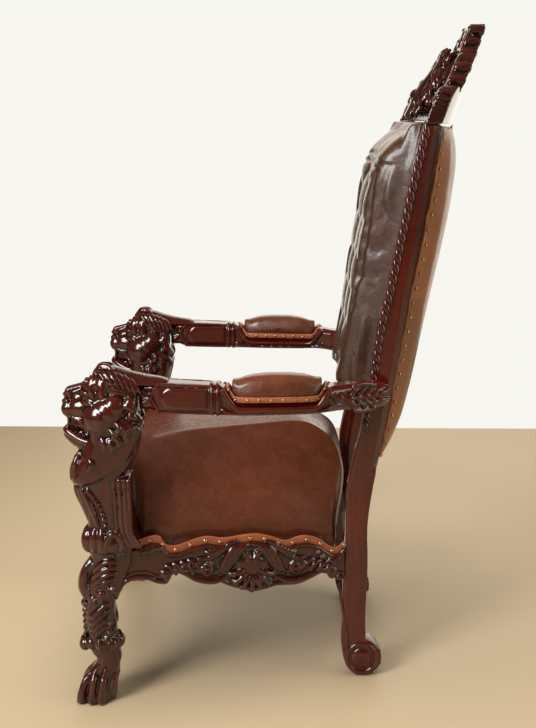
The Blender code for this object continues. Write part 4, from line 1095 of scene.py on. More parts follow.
def open_tree(name, numbers):
    """A tree with geometry in and out, named numbers and a finish."""
    tree = bpy.data.node_groups.new(name, "GeometryNodeTree")
    add_sockets(tree, "INPUT", "NodeSocketGeometry", {"Geometry": None})
    add_sockets(tree, "INPUT", "NodeSocketFloat", numbers)
    add_sockets(tree, "INPUT", "NodeSocketMaterial", {"Finish": None})
    add_sockets(tree, "OUTPUT", "NodeSocketGeometry", {"Geometry": None})
    return tree, tree.nodes.new("NodeGroupInput").outputs


def close_tree(tree, start, made):
    """Realize what was made, smooth it and give it the finish."""
    real = add_node(tree, "GeometryNodeRealizeInstances", Geometry=made)
    soft = add_node(tree, "GeometryNodeSetShadeSmooth", Geometry=real.outputs[0])
    finish = add_node(tree, "GeometryNodeSetMaterial", Geometry=soft.outputs[0], Material=start["Finish"])
    add_node(tree, "NodeGroupOutput", Geometry=finish.outputs[0])
    return tree


def steps_along(tree, start):
    """The incoming line as points, one at each step of the spacing."""
    curve = add_node(tree, "GeometryNodeMeshToCurve", Mesh=start["Geometry"])
    return add_node(tree, "GeometryNodeResampleCurve", {"mode": "LENGTH"}, Curve=curve.outputs[0],
                    Length=start["Spacing"]).outputs[0]


def put_balls(tree, points, turn, size, segments, rings, radius=1.0):
    """A ball on each point, turned and stretched."""
    head = add_node(tree, "GeometryNodeMeshUVSphere", Segments=segments, Rings=rings, Radius=radius)
    return add_node(tree, "GeometryNodeInstanceOnPoints", Points=points, Instance=head.outputs[0],
                    Rotation=turn, Scale=size).outputs[0]


def domes_on(tree, start, points, segments, rings):
    """Flattened balls that face outward."""
    turn = add_node(tree, "FunctionNodeAlignRotationToVector", {"axis": "Z"}, Vector=outward_attribute(tree))
    size = add_node(tree, "ShaderNodeCombineXYZ", X=1.0, Y=1.0, Z=start["Dome"])
    return put_balls(tree, points, turn.outputs[0], size.outputs[0], segments, rings, start["Radius"])


def make_nail_tree():
    tree, start = open_tree("nails along a path", {"Spacing": 0.031, "Radius": 0.005, "Dome": 0.6})
    return close_tree(tree, start, domes_on(tree, start, steps_along(tree, start), 16, 8))


NAIL_TREE = make_nail_tree()


# %% Paths and placing along them
def path_object(name, points, outward):
    """An open line of points, each with its outward direction."""
    mesh = bpy.data.meshes.new(name)
    mesh.from_pydata([tuple(p) for p in points], [(k, k + 1) for k in range(len(points) - 1)], [])
    layer = mesh.attributes.new("outward", "FLOAT_VECTOR", "POINT")
    for item, direction in zip(layer.data, outward):
        item.vector = direction
    made = bpy.data.objects.new(name, mesh)
    bpy.context.scene.collection.objects.link(made)
    return made


def run_tree(made, tree, **values):
    """Run a Geometry Nodes tree on an object and keep the result as plain mesh."""
    modifier = made.modifiers.new("rule", "NODES")
    modifier.node_group = tree
    sockets = {item.name: item.identifier for item in tree.interface.items_tree
               if item.item_type == "SOCKET" and item.in_out == "INPUT"}
    for key, value in values.items():
        modifier[sockets[key.replace("_", " ")]] = value
    settle(made)
    print(made.name, triangles(made), "triangles")
    return made


def nail_row(name, points, outward, spacing=0.031, radius=0.0047):
    made = path_object(name, points, outward)
    return run_tree(made, NAIL_TREE, Spacing=spacing, Radius=radius, Dome=0.62, Finish=BRASS)


print("nail tree nodes:", len(NAIL_TREE.nodes))

# %% [markdown]
# The band is a strip of thinner leather that covers the cushion's raw edge. It follows the
# rail's lip, and the nails run along its middle.


# %% Leather bands and their nails
def make_rail_band(name, length, rule):
    out = RAIL_THICKNESS / 2 - 0.0065
    wide, tall = BAND_THICKNESS / 2, (BAND_HEIGHT + 0.003) / 2
    work = Work(rule)
    stations = []
    for share in shares(90):
        share = 0.004 + 0.992 * share
        stations.append((share * length, wood_top(share) + BAND_HEIGHT / 2 - 0.001))
    skin_rings(work.bm, [[work(along, out + wide * signed_power(math.cos(turn), 0.6),
                               height + tall * signed_power(math.sin(turn), 0.75)) for turn in turns(14)]
                         for along, height in stations])
    band = new_object("band_" + name, work.bm, BAND_LEATHER)
    band.data.shade_smooth()
    face = out + wide + 0.0004
    points = [work(along, face, height) for along, height in stations]
    outward = [work(along, face + 0.01, height) - work(along, face, height) for along, height in stations]
    return band, nail_row("nails_" + name, points, outward)


def make_bands():
    band, nails = make_rail_band("side_left", SIDE_RAIL_LENGTH, on_side_rail)
    fit_out_pair(band, None)
    fit_out_pair(nails, None)
    for made in make_rail_band("front", 2 * FRONT_RAIL_END, on_front_rail):
        fit_out(made, None)


make_bands()

# %% [markdown]
# ## Rear posts
# Each rear post runs from a scrolled foot to the shoulder. Its sides are flat and its edges
# lightly rounded, so a bevel on a crisp outline is better than a remesh here: the flat sides
# then reflect the room without ripples. The scroll's ring and eye are turned forms beside it.

# %% The post's lines
REAR_AXIS_X = 0.210
REAR_FACE_Y = 0.143
SHOULDER_AXIS_X = 0.247
REAR_POST_WIDTH = 0.045
SHOULDER_HEIGHT = 1.221
FLARE_START = 0.450
FOOT_CENTRE = (REAR_FACE_Y + 0.045, 0.0435)
FOOT_RADIUS = 0.0425
FOOT_FRONT = ((-0.002, 0.085), (0.002, 0.052), (0.010, 0.024), (0.023, 0.008))
REAR_POST = (
    (0.085, -0.001, 0.053), (0.120, 0.002, 0.052), (0.174, 0.001, 0.054), (0.228, 0.003, 0.055),
    (0.289, 0.006, 0.053), (0.355, 0.007, 0.062), (0.428, 0.024, 0.078), (0.482, 0.038, 0.089),
    (0.564, 0.053, 0.105), (0.652, 0.067, 0.121), (0.739, 0.089, 0.136), (0.841, 0.111, 0.156),
    (0.933, 0.133, 0.171), (1.000, 0.151, 0.183))
POST_CURVE = smooth(REAR_POST, 5)


def post_depth(height):
    front, rear = between(POST_CURVE, height / SHOULDER_HEIGHT)
    return REAR_FACE_Y + front, REAR_FACE_Y + rear


def post_axis_x(height):
    share = max(0.0, (height - FLARE_START) / (SHOULDER_HEIGHT - FLARE_START))
    return REAR_AXIS_X + (SHOULDER_AXIS_X - REAR_AXIS_X) * share


def frame_y(height):
    return sum(post_depth(min(height, SHOULDER_HEIGHT))) / 2


def inner_face(height):
    return post_axis_x(height) - REAR_POST_WIDTH / 2


def post_outer_face(height):
    return post_axis_x(height) + REAR_POST_WIDTH / 2


def foot_outline():
    points = []
    for degrees in range(82, -80, -9):
        angle = math.radians(degrees)
        points.append((FOOT_CENTRE[0] + 0.002 + FOOT_RADIUS * math.cos(angle),
                       FOOT_CENTRE[1] + FOOT_RADIUS * math.sin(angle)))
    points += [(REAR_FACE_Y + 0.057, 0.0), (REAR_FACE_Y + 0.035, 0.0)]
    return points + [(REAR_FACE_Y + y, z) for y, z in rounded(FOOT_FRONT[::-1], 3)]


def post_side(bm, out):
    """One side of the post: its front line, its rear line and the foot."""
    heights = [row[0] * SHOULDER_HEIGHT for row in [*POST_CURVE[:-1:2], POST_CURVE[-1]]]
    front, rear = [], []
    for height in heights:
        y_front, y_rear = post_depth(height)
        if SEAT_LEDGE - 0.12 < height < SEAT_LEDGE + 0.03:
            y_front = max(y_front, REAR_FACE_Y + GAP)
        front.append(bm.verts.new((post_axis_x(height) + out, y_front, height)))
        rear.append(bm.verts.new((post_axis_x(height) + out, y_rear, height)))
    foot = [bm.verts.new((REAR_AXIS_X + out, y, z)) for y, z in foot_outline()]
    for low in range(len(heights) - 1):
        bm.faces.new((front[low], front[low + 1], rear[low + 1], rear[low]))
    bm.faces.new([rear[0], *foot, front[0]])
    return front + rear[::-1] + foot


# %% Scroll on the foot
def ring_form(work, radius, thick, sides=36):
    """A closed ring with a round section."""
    rows = []
    for turn in turns(sides):
        row = []
        for tilt in turns(12):
            reach = radius + thick * math.cos(tilt)
            row.append(work(reach * math.cos(turn), thick * math.sin(tilt), reach * math.sin(turn)))
        rows.append(row)
    skin_rings(work.bm, rows, endless=True)


def foot_scroll(work, half):
    """A ring, an eye and a stem on both flanks, and three rolls across the rear."""
    y, z = FOOT_CENTRE
    for side in (-1, 1):
        flank = work.seen(lambda a, out, c, side=side: (y + a, side * (half + out), z + c))
        ring_form(flank, 0.0335, 0.0050)
        ball(flank, (0, -0.002, 0), (0.024, 0.007, 0.024), 32, 12)
        tube(flank, ((-0.052, 0, 0.160, 0.002), (-0.040, 0, 0.090, 0.0035),
                     (-0.034, 0, 0.040, 0.0045), (-0.034, 0, 0, 0.0045)))
    for step in range(3):
        angle = math.radians(-60 + 42 * step)
        reach = FOOT_RADIUS - 0.003
        tube(work, [(y + reach * math.cos(angle), share * half, z + reach * math.sin(angle),
                     0.0075 - 0.0012 * abs(share)) for share in (-0.9, -0.45, 0, 0.45, 0.9)])


CHAMFER = 0.013
CHAMFER_FROM = 0.46


def make_rear_posts():
    half = REAR_POST_WIDTH / 2
    bm = bmesh.new()
    loops = [post_side(bm, out) for out in (-half, half)]
    inner, outer = loops
    for corners in zip(inner, turned(inner), turned(outer), outer):
        bm.faces.new(corners)
    bmesh.ops.recalc_face_normals(bm, faces=bm.faces)
    rear = [vert for vert in outer if vert.co.z > CHAMFER_FROM
            and abs(vert.co.y - post_depth(vert.co.z)[1]) < 1e-4]
    rear_edge = [edge for edge in bm.edges if edge.verts[0] in rear and edge.verts[1] in rear]
    bmesh.ops.bevel(bm, geom=rear_edge, offset=CHAMFER, segments=1, affect="EDGES")
    made = new_object("scroll_post_left", bm, UPRIGHT)
    bevel = made.modifiers.new("rounded edges", "BEVEL")
    bevel.width = 0.004
    bevel.segments = 3
    bevel.angle_limit = math.radians(50)
    settle(made)
    bm = bmesh.new()
    bm.from_mesh(made.data)
    foot_scroll(Work(lambda y, out, z: (REAR_AXIS_X + out, y, z), bm=bm), half)
    bmesh.ops.recalc_face_normals(bm, faces=bm.faces)
    bm.to_mesh(made.data)
    bm.free()
    keep_below(made, 0.0)
    made.data.shade_smooth()
    made.data.set_sharp_from_angle(angle=math.radians(35))
    print(made.name, triangles(made), "triangles")
    fit_out_pair(made, "rear_post_left")


make_rear_posts()

# %% [markdown]
# ## Rope mouldings
# A rope moulding runs up the front edge of each rear post. It repeats one slanted bead along a
# path, so Geometry Nodes make it: each bead points along the path and is then turned about the
# outward direction, which gives the twist.

# %% Node tree: rope moulding
def make_rope_tree():
    tree, start = open_tree("rope moulding", {"Spacing": 0.0135, "Bead Length": 0.0125, "Bead Width": 0.0048})
    add_sockets(tree, "INPUT", "NodeSocketRotation", {"Slant": None})
    tangent = tree.nodes.new("GeometryNodeInputTangent").outputs[0]
    face = add_node(tree, "FunctionNodeAlignRotationToVector", {"axis": "X"}, Vector=outward_attribute(tree))
    way = add_node(tree, "FunctionNodeAlignRotationToVector", {"axis": "Z", "pivot_axis": "X"},
                   Rotation=face.outputs[0], Vector=tangent)
    slant = add_node(tree, "FunctionNodeRotateRotation", {"rotation_space": "LOCAL"},
                     Rotation=way.outputs[0], Rotate_By=start["Slant"])
    size = add_node(tree, "ShaderNodeCombineXYZ", X=start["Bead Width"], Y=start["Bead Width"],
                    Z=start["Bead Length"])
    beads = put_balls(tree, steps_along(tree, start), slant.outputs[0], size.outputs[0], 12, 8)
    return close_tree(tree, start, beads)


ROPE_TREE = make_rope_tree()
ROPE_SLANT = math.radians(24)
ROPE_LOW = 0.585
ROPE_HIGH = SHOULDER_HEIGHT - 0.012


def make_ropes():
    points = []
    for share in shares(60):
        height = ROPE_LOW + (ROPE_HIGH - ROPE_LOW) * share
        points.append((post_outer_face(height) - 0.0015, post_depth(height)[0] + 0.0065, height))
    made = path_object("rope_left", points, [(1.0, -0.35, 0.0)] * len(points))
    run_tree(made, ROPE_TREE, Spacing=0.0215, Bead_Length=0.0185, Bead_Width=0.0062,
             Slant=(ROPE_SLANT, 0.0, 0.0), Finish=CARVED)
    fit_out_pair(made, None)


make_ropes()

# %% [markdown]
# ## Arms
# An arm leaves the lion's head, widens into a flat panel with cut-off corners, dips to carry
# its pad, and curves in to lap on the rear post, where a leaf ends it. The arm is a loft of
# eight-sided sections, with the mouldings laid round it, and one remesh fuses them.

# %% The arm's sections
ARM_WIDTH = 0.054
ARM_END_WIDTH = 0.042
ARM_FRONT_Y = -0.283
ARM_BACK_Y = 0.236
ARM_HIGH = 0.700
ARM_DEPTH = 0.056
ARM_LOW = ARM_HIGH - ARM_DEPTH
PAD_FRONT_Y = -0.104
PAD_LENGTH = 0.204
PAD_BACK_Y = PAD_FRONT_Y + PAD_LENGTH
PAD_HOLLOW = 0.031
ARM_VOXEL = 0.0019


ARM_REAR_X = post_outer_face(ARM_HIGH - ARM_DEPTH / 2) + ARM_END_WIDTH / 2
ARM_LINE = smooth((
    (ARM_FRONT_Y, FRONT_AXIS_X), (PAD_FRONT_Y, FRONT_AXIS_X + 0.005),
    (PAD_BACK_Y - 0.1, FRONT_AXIS_X + 0.001), (PAD_BACK_Y - 0.01, FRONT_AXIS_X - 0.011),
    (PAD_BACK_Y + 0.04, ARM_REAR_X + 0.5 * (FRONT_AXIS_X - ARM_REAR_X)),
    (PAD_BACK_Y + 0.085, ARM_REAR_X + 0.016), (ARM_BACK_Y, ARM_REAR_X)), 6)


def arm_axis_x(y):
    return between(ARM_LINE, y)[0]


def arm_form():
    """y, underside, top and half width along the arm."""
    low, high, half, end = ARM_LOW, ARM_HIGH, ARM_WIDTH / 2, ARM_END_WIDTH / 2
    dip = high - PAD_HOLLOW
    return (
        (ARM_FRONT_Y, low + 0.006, high + 0.002, half - 0.007),
        (ARM_FRONT_Y + 0.021, low + 0.007, high + 0.006, half - 0.005),
        (ARM_FRONT_Y + 0.038, low + 0.001, high + 0.008, half),
        (PAD_FRONT_Y - 0.031, low - 0.001, high + 0.003, half),
        (PAD_FRONT_Y - 0.014, low - 0.002, high + 0.003, half + 0.003),
        (PAD_FRONT_Y, low - 0.003, high - 0.005, half + 0.004),
        (PAD_FRONT_Y + 0.019, low - 0.003, dip, half + 0.004),
        (PAD_BACK_Y - 0.020, low - 0.001, dip, half + 0.004),
        (PAD_BACK_Y - 0.003, low - 0.001, high - 0.008, half + 0.004),
        (PAD_BACK_Y + 0.012, low - 0.001, high - 0.003, half + 0.003),
        (PAD_BACK_Y + 0.028, low - 0.002, high - 0.005, half - 0.001),
        (ARM_BACK_Y - 0.076, low - 0.006, high - 0.006, end + 0.002),
        (ARM_BACK_Y - 0.036, low - 0.008, high - 0.008, end),
        (ARM_BACK_Y - 0.014, low - 0.004, high - 0.012, end - 0.002),
        (ARM_BACK_Y, low + 0.008, high - 0.020, end - 0.006))


ARM_FORM = arm_form()


def arm_loft(work):
    lap_from = post_depth(ARM_LOW)[0] - 0.012
    rings = []
    rows = []
    for first, second in zip(ARM_FORM, ARM_FORM[1:]):
        pieces = max(1, int((second[0] - first[0]) / 0.010))
        rows += [tuple(a + (b - a) * k / pieces for a, b in zip(first, second)) for k in range(pieces)]
    rows.append(ARM_FORM[-1])
    for y, low, high, half in rows:
        axis = arm_axis_x(y)
        cut = 0.35 * half
        corners = ((-1, low + cut, 1), (-1, low, 0), (1, low, 0), (1, low + cut, 1),
                   (1, high - cut, 1), (1, high, 0), (-1, high, 0), (-1, high - cut, 1))
        ring = []
        for side, z, full in corners:
            x = axis + side * (half if full else half - cut)
            if y > lap_from and side < 0:
                x = max(x, post_outer_face(z) + GAP)
            ring.append(Vector((x, y, z)))
        rings.append(ring)
    skin_rings(work.bm, rings)


# %% The arm's mouldings and leaf
def arm_face(y, share=0.0, out=0.0):
    """A point on the arm's outer face, from the middle (0) up to the top (1)."""
    low, high, half = between(ARM_FORM, y)
    middle = (low + high) / 2
    return arm_axis_x(y) + half + out, y, middle + share * (high - low) / 2


def face_line(work, keys, sides=10):
    """A ridge on the outer and the inner face; each key is (y, share, out, radius)."""
    for side in (1, -1):
        path = []
        for y, share, out, radius in keys:
            x, depth, z = arm_face(y, share, out)
            if side < 0:
                x = 2 * arm_axis_x(y) - x
                if y > post_depth(ARM_LOW)[0] - 0.03:
                    radius = 0.0012
                    x = arm_axis_x(y)
            path.append((x, depth, z, radius))
        tube(work, path, sides=sides)


def arm_neck(work):
    front = ARM_FRONT_Y
    face_line(work, ((front + 0.040, 0.95, -0.001, 0.0022), (front + 0.029, 0.45, 0.0, 0.0030),
                     (front + 0.025, 0.0, 0.001, 0.0034), (front + 0.031, -0.45, 0.0, 0.0030),
                     (front + 0.042, -0.95, -0.001, 0.0022)))
    for share in (0.55, -0.5):
        face_line(work, ((front + 0.002, share, 0.000, 0.0035), (front + 0.011, share * 0.75, 0.0010, 0.0040),
                         (front + 0.019, share * 0.3, 0.0, 0.0025)))
    for share in (-0.93, 0.93):
        face_line(work, ((front + 0.036, share, -0.003, 0.0030), (front + 0.090, share, -0.003, 0.0030),
                         (PAD_FRONT_Y - 0.034, share, -0.003, 0.0030)))


def pad_mouldings(work):
    """The double bead at the pad's front, the loop under it, and a lower ridge along the pad."""
    for back in (0.030, 0.018):
        y = PAD_FRONT_Y - back
        low, high, half = between(ARM_FORM, y)
        wide, tall = half + 0.001, (high - low) / 2 + 0.0005
        points = [(arm_axis_x(y) + wide * signed_power(math.cos(2 * math.pi * share), 0.55), y,
                   (low + high) / 2 + tall * signed_power(math.sin(2 * math.pi * share), 0.55), 0.0042)
                  for share in shares(24)]
        tube(work, points, sides=10, per_span=1)
    face_line(work, ((PAD_FRONT_Y - 0.008, 0.95, 0.0, 0.0045), (PAD_FRONT_Y + 0.004, 0.50, 0.001, 0.0055),
                     (PAD_FRONT_Y + 0.022, 0.15, 0.001, 0.0055), (PAD_FRONT_Y + 0.060, 0.02, 0.001, 0.0050),
                     (PAD_BACK_Y - 0.060, 0.02, 0.001, 0.0050), (PAD_BACK_Y - 0.022, 0.15, 0.001, 0.0055),
                     (PAD_BACK_Y - 0.004, 0.50, 0.001, 0.0055), (PAD_BACK_Y + 0.008, 0.95, 0.0, 0.0045)), 12)
    face_line(work, ((PAD_FRONT_Y - 0.010, -0.55, 0.0, 0.0030), (PAD_FRONT_Y + 0.020, -0.62, 0.0, 0.0032),
                     (PAD_BACK_Y - 0.020, -0.62, 0.0, 0.0032), (PAD_BACK_Y + 0.010, -0.45, 0.0, 0.0030)))


def arm_panel(work):
    """A raised flat panel with a rounded front end, on both faces of the arm."""
    front, back = ARM_FRONT_Y + 0.046, PAD_FRONT_Y - 0.040
    middle = (ARM_LOW + ARM_HIGH) / 2 + 0.004
    tall = ARM_DEPTH / 2 - 0.006
    outline = [(front + 0.022 * (1 - math.cos(math.radians(a))), middle + tall * math.sin(math.radians(a)))
               for a in range(-90, 91, 15)] + [(back, middle + tall), (back, middle - tall)]
    pillow(work.seen(lambda y, out, z: (arm_axis_x(y) + out, y, z)), outline, ARM_WIDTH / 2 + 0.0022,
           0.0022, steps=4)


ARM_LEAF_RIBS = 5


def arm_leaf(work):
    """A ringed boss behind the pad, and the leaf that sweeps over the rear post."""
    boss = PAD_BACK_Y + 0.026
    x, y, z = arm_face(boss, 0.12, 0.0)
    ball(work, (x, y, z), (0.008, 0.010, 0.010))
    winding(work.seen(lambda a, b, c: (arm_face(a)[0] + b, a, c)), (boss, z), 0.019, 1,
            math.radians(150), 0.0042, 0.0, rounds=1.0)
    face_line(work, ((boss + 0.020, -0.05, 0.000, 0.004), (boss + 0.048, 0.0, 0.003, 0.0045),
                     (boss + 0.080, 0.10, 0.003, 0.0040), (ARM_BACK_Y - 0.004, 0.22, 0.0, 0.0025)))
    for rib in range(ARM_LEAF_RIBS):
        start = boss + 0.022 + 0.0145 * rib
        reach = 0.98 - 0.10 * rib
        for side in (-1, 1):
            face_line(work, ((start, 0.12 * side, 0.001, 0.0030),
                             (start + 0.010, side * 0.5 * reach, 0.0035, 0.0045),
                             (start + 0.026, side * reach, 0.0005, 0.0030)))
    for side in (-1, 1):
        face_line(work, ((boss + 0.030, side * 0.95, 0.002, 0.005), (boss + 0.052, side * 1.02, 0.002, 0.006),
                         (boss + 0.078, side * 0.90, 0.001, 0.0045)))


def make_arms():
    work = Work()
    for form in (arm_loft, arm_neck, arm_panel, pad_mouldings, arm_leaf):
        form(work)
    made = carve(new_object("arm_rest_left", work.bm, LENGTHWISE), ARM_VOXEL)
    fit_out_pair(made, "arm_left")


make_arms()

# %% [markdown]
# ## Crest
# The crest is a bowed, raked board with stepped scrolls along its top and a thick cluster of
# leaves and fruit in its middle. It is drawn as a flat pattern in millimetres, from the middle
# outward, and a rule bends and leans the pattern into place.

# %% The crest's board
CREST_HEIGHT = 0.211
CREST_THICKNESS = 0.034
CREST_HALF_WIDTH = 0.276
CREST_PATTERN = 211.0
CREST_PATTERN_HALF = 276.0
CREST_RAKE = 0.345
CREST_VOXEL = 0.0025
BACK_BOW = 0.048
CREST_BASE = SHOULDER_HEIGHT + GAP
CREST_OUTLINE = (
    (0, 211), (26, 209), (42, 198), (52, 176), (72, 156), (88, 140), (108, 146), (128, 140),
    (146, 118), (168, 98), (186, 76), (204, 64), (228, 74), (254, 72), (271, 54), (276, 26),
    (270, 6), (262, 0))


def crest_y(x, up):
    share = min(1.0, abs(x) / CREST_HALF_WIDTH)
    return frame_y(SHOULDER_HEIGHT) + CREST_RAKE * up + BACK_BOW * (1 - share * share)


def crest_top(x):
    rows = sorted((u, v) for u, v in smooth(CREST_OUTLINE, 3) if v >= 26)
    return max(4.0, between(rows, x)[0])


def crest_board(work, deep):
    strips = 46
    width = 2 * CREST_PATTERN_HALF / strips
    edge = CREST_PATTERN_HALF - 0.1
    for k in range(strips):
        near = -CREST_PATTERN_HALF + width * k
        across = [max(-edge, min(edge, u)) for u in (near, near + width / 2, near + width + 1)]
        tops = [(u, crest_top(abs(u))) for u in across]
        slab(work, [(tops[0][0], 0.0), *tops, (tops[-1][0], 0.0)], -deep, deep)


# %% Scrolls, leaves and fruit on the crest
CREST_ROLLS = ((196, 11), (170, 10), (143, 12), (114, 12), (88, 10))
CREST_FLUTES = (72, 62, 52, 42, 32, 22)
LEAF_TIPS = 54
LEAF_SEED = 7


def crest_scrolls(work, rim):
    for half in work.halves(face=rim):
        tube(half, ((244, 0, 36, 7), (262, 0, 44, 8), (252, 0, 62, 8), (226, 0, 64, 8), (200, 0, 54, 8),
                    (176, 0, 74, 8), (150, 0, 106, 8), (122, 0, 132, 8), (98, 0, 134, 8), (84, 0, 122, 6)))
        tube(half, ((240, 1, 24, 4), (222, 2, 44, 5), (196, 2, 38, 5), (168, 2, 60, 5), (140, 2, 92, 5),
                    (116, 2, 112, 4)))
        for centre, size in (((244, 44), 17), ((106, 120), 17), ((30, 176), 16)):
            winding(half, centre, size, 1, math.radians(90), 5.5, 2, rise=3.0)
        tube(half, ((84, 0, 132, 6), (62, 0, 156, 7), (48, -2, 184, 7), (22, -3, 200, 7), (0, -3, 202, 7)))
        for step in range(6):
            x = 212 - 18 * step
            tube(half, ((x, 0, crest_top(x) - 26, 3), (x - 6, 5, crest_top(x) - 16, 5),
                        (x - 16, 2, crest_top(x - 16) - 9, 3)))


def crest_rolls(work, deep):
    """Rolls across the board's edge, close together, which scallop its outline."""
    for half in work.halves():
        for high, thick in CREST_ROLLS:
            x = next((u for u in range(4, 270, 2) if crest_top(u) < high), 268)
            tube(half, ((x, -deep - 1, high - 2, thick * 0.8), (x, -deep * 0.4, high, thick),
                        (x, deep * 0.4, high, thick), (x, deep + 1, high - 2, thick * 0.8)))
        for high in CREST_FLUTES:
            x = next((u for u in range(4, 270, 2) if crest_top(u) < high), 270)
            tube(half, ((x, -deep, high - 5, 4), (x + 2, 0, high, 5), (x, deep, high + 5, 4)))


def crest_leaves(work, deep):
    for half in work.halves(face=deep):
        for low, thick in ((46, 8.0), (34, 5.5), (58, 5.5)):
            tube(half, ((30, 4, low + 14, thick * 0.8), (70, 3, low, thick), (112, 1, low + 14, thick * 0.9),
                        (150, -1, low + 10, thick * 0.7), (190, -3, low - 18, thick * 0.6),
                        (226, -4, low - 28, 3)))
        for step in range(6):
            start, high = 44 + 22 * step, 92 - 5 * step
            tube(half, ((start, -2, 58, 4), (start + 10, 6, high - 12, 7), (start + 24, 3, high, 5),
                        (start + 34, -2, high + 2, 2.5)))
            tube(half, ((start + 6, -2, 44, 3), (start + 16, 4, 26, 5), (start + 28, 1, 14, 3)))
        chance = random.Random(LEAF_SEED)
        for step in range(LEAF_TIPS):
            high = 20 + 128 * (step + 0.5) / LEAF_TIPS
            wide = 74 - 0.22 * high
            x = chance.uniform(0.15, 1.0) * wide
            out = 4 + (62 - 0.22 * high) * math.sqrt(max(0.0, 1 - (x / (wide + 4)) ** 2))
            lean = chance.uniform(-6, 10)
            tube(half, ((x - 5, out - 7, high + 12, 3.5), (x, out, high + 3, 6),
                        (x + 3 + lean * 0.4, out + 1, high - 7, 4.5),
                        (x + lean, out - 4, high - 15, 2)), sides=8)
        ball(half, (24, 10, 84), (34, 28, 56))
        ball(half, (18, 22, 136), (11, 11, 12))
        for step in range(3):
            ball(half, (24 + 11 * step, 34 - 7 * step, 26 + 4 * step), (10, 11, 11))


def crest_cluster(work, deep):
    front = work.seen(lambda x, out, up: (x, deep + out, up))
    ball(front, (0, 14, 84), (38, 38, 58))
    ball(front, (0, 30, 48), (27, 32, 33))
    for x in (-13, 0, 13):
        tube(front, ((x * 0.5, 4, 152, 6), (x, 22, 130, 8), (x, 40, 98, 10), (x, 54, 62, 11), (x, 57, 34, 9),
                     (x * 0.6, 64, 12, 6)))
    for half in front.halves():
        tube(half, ((20, 34, 62, 8), (28, 46, 38, 9), (26, 50, 12, 5)))
    for step, size in enumerate((10, 9, 8)):
        ball(front, (0, 66 - 11 * step, 62 + 22 * step), (size, size * 0.8, size))


def make_crest():
    unit = CREST_HEIGHT / CREST_PATTERN
    side_unit = CREST_HALF_WIDTH / CREST_PATTERN_HALF

    def rule(x, out, up):
        return x * side_unit, crest_y(x * side_unit, up * unit) - out * unit, CREST_BASE + up * unit

    work = Work(rule, unit)
    deep = CREST_THICKNESS / 2 / unit
    crest_board(work, deep)
    crest_scrolls(work, deep - 3)
    for form in (crest_rolls, crest_leaves, crest_cluster):
        form(work, deep)
    made = carve(new_object("crest_carved", work.bm, CRESTED), CREST_VOXEL)
    for vert in made.data.vertices:
        if abs(vert.co.x) > SHOULDER_AXIS_X - 0.06:
            vert.co.z = max(vert.co.z, CREST_BASE)
    fit_out(made, "crest")


make_crest()

# %% [markdown]
# ## Plain rails
# The rear rail and the lower rail of the back are plain boards that hardly show. Their solids
# are kept, and they get the wood's finish.

# %% Finish for the kept solids
def finish_node(name, surface):
    mesh = nodes[name].data
    mesh.materials.clear()
    mesh.materials.append(surface)
    print(name, "finished with", surface.name)


finish_node("rear_rail", CROSSWISE)
finish_node("back_lower_rail", CROSSWISE)

# %% [markdown]
# ## Cushions as cloth
# Each padded piece starts from its solid, a little smaller, and is blown up by a short cloth
# simulation with inner pressure. A cap on how far a point moves keeps it in its place between
# the rails. The simulation gives the soft, even swelling that is hard to draw by hand.

# %% Swelling a cushion
CLOTH_PRESSURE = 4.0
CLOTH_FRAMES = 20


def soft_copy(node, name, voxel, shrink, surface, rounds=6):
    """A closed, evenly divided copy of a solid, a little smaller than it."""
    mesh = nodes[node].data.copy()
    mesh.name = name
    made = bpy.data.objects.new(name, mesh)
    bpy.context.scene.collection.objects.link(made)
    bm = bmesh.new()
    bm.from_mesh(mesh)
    bmesh.ops.remove_doubles(bm, verts=bm.verts, dist=1e-5)
    bmesh.ops.recalc_face_normals(bm, faces=bm.faces)
    bm.to_mesh(mesh)
    bm.free()
    mesh.materials.clear()
    mesh.materials.append(surface)
    fuse = made.modifiers.new("fuse", "REMESH")
    fuse.mode = "VOXEL"
    fuse.voxel_size = voxel
    soften = made.modifiers.new("soften", "SMOOTH")
    soften.factor = 0.5
    soften.iterations = rounds
    draw_in = made.modifiers.new("draw in", "DISPLACE")
    draw_in.strength = -shrink
    draw_in.mid_level = 0.0
    settle(made)
    return made


def swell(made, cap, calm=0):
    """Blow the piece up as cloth, and hold every point within the cap."""
    rest = [vert.co.copy() for vert in made.data.vertices]
    cloth = made.modifiers.new("cloth", "CLOTH")
    cloth.settings.use_pressure = True
    cloth.settings.uniform_pressure_force = CLOTH_PRESSURE
    cloth.settings.effector_weights.gravity = 0.0
    cloth.settings.quality = 4
    cloth.collision_settings.use_collision = False
    cloth.point_cache.frame_start = 1
    cloth.point_cache.frame_end = CLOTH_FRAMES
    scene = bpy.context.scene
    for number in range(1, CLOTH_FRAMES + 1):
        scene.frame_set(number)
    settle(made)
    scene.frame_set(1)
    moved = 0.0
    for vert, start in zip(made.data.vertices, rest):
        step = vert.co - start
        moved = max(moved, step.length)
        if step.length > cap:
            vert.co = start + step.normalized() * cap
    print(made.name, "swelled by at most", round(min(moved, cap) * 1000, 1), "mm")
    if calm:
        soften = made.modifiers.new("calm", "SMOOTH")
        soften.factor = 0.6
        soften.iterations = calm
    finer = made.modifiers.new("finer", "SUBSURF")
    finer.levels = 1
    finer.render_levels = 1
    settle(made)
    made.data.shade_smooth()


def ease(value):
    value = max(0.0, min(1.0, value))
    return value * value * (3 - 2 * value)


def round_off(made, share, rounds):
    """Smooth the points by the share that a rule gives them."""
    group = made.vertex_groups.new(name="round off")
    for vert in made.data.vertices:
        group.add([vert.index], share(vert.co), "REPLACE")
    soften = made.modifiers.new("round off", "SMOOTH")
    soften.vertex_group = group.name
    soften.factor = 0.9
    soften.iterations = rounds
    settle(made)
    made.vertex_groups.clear()


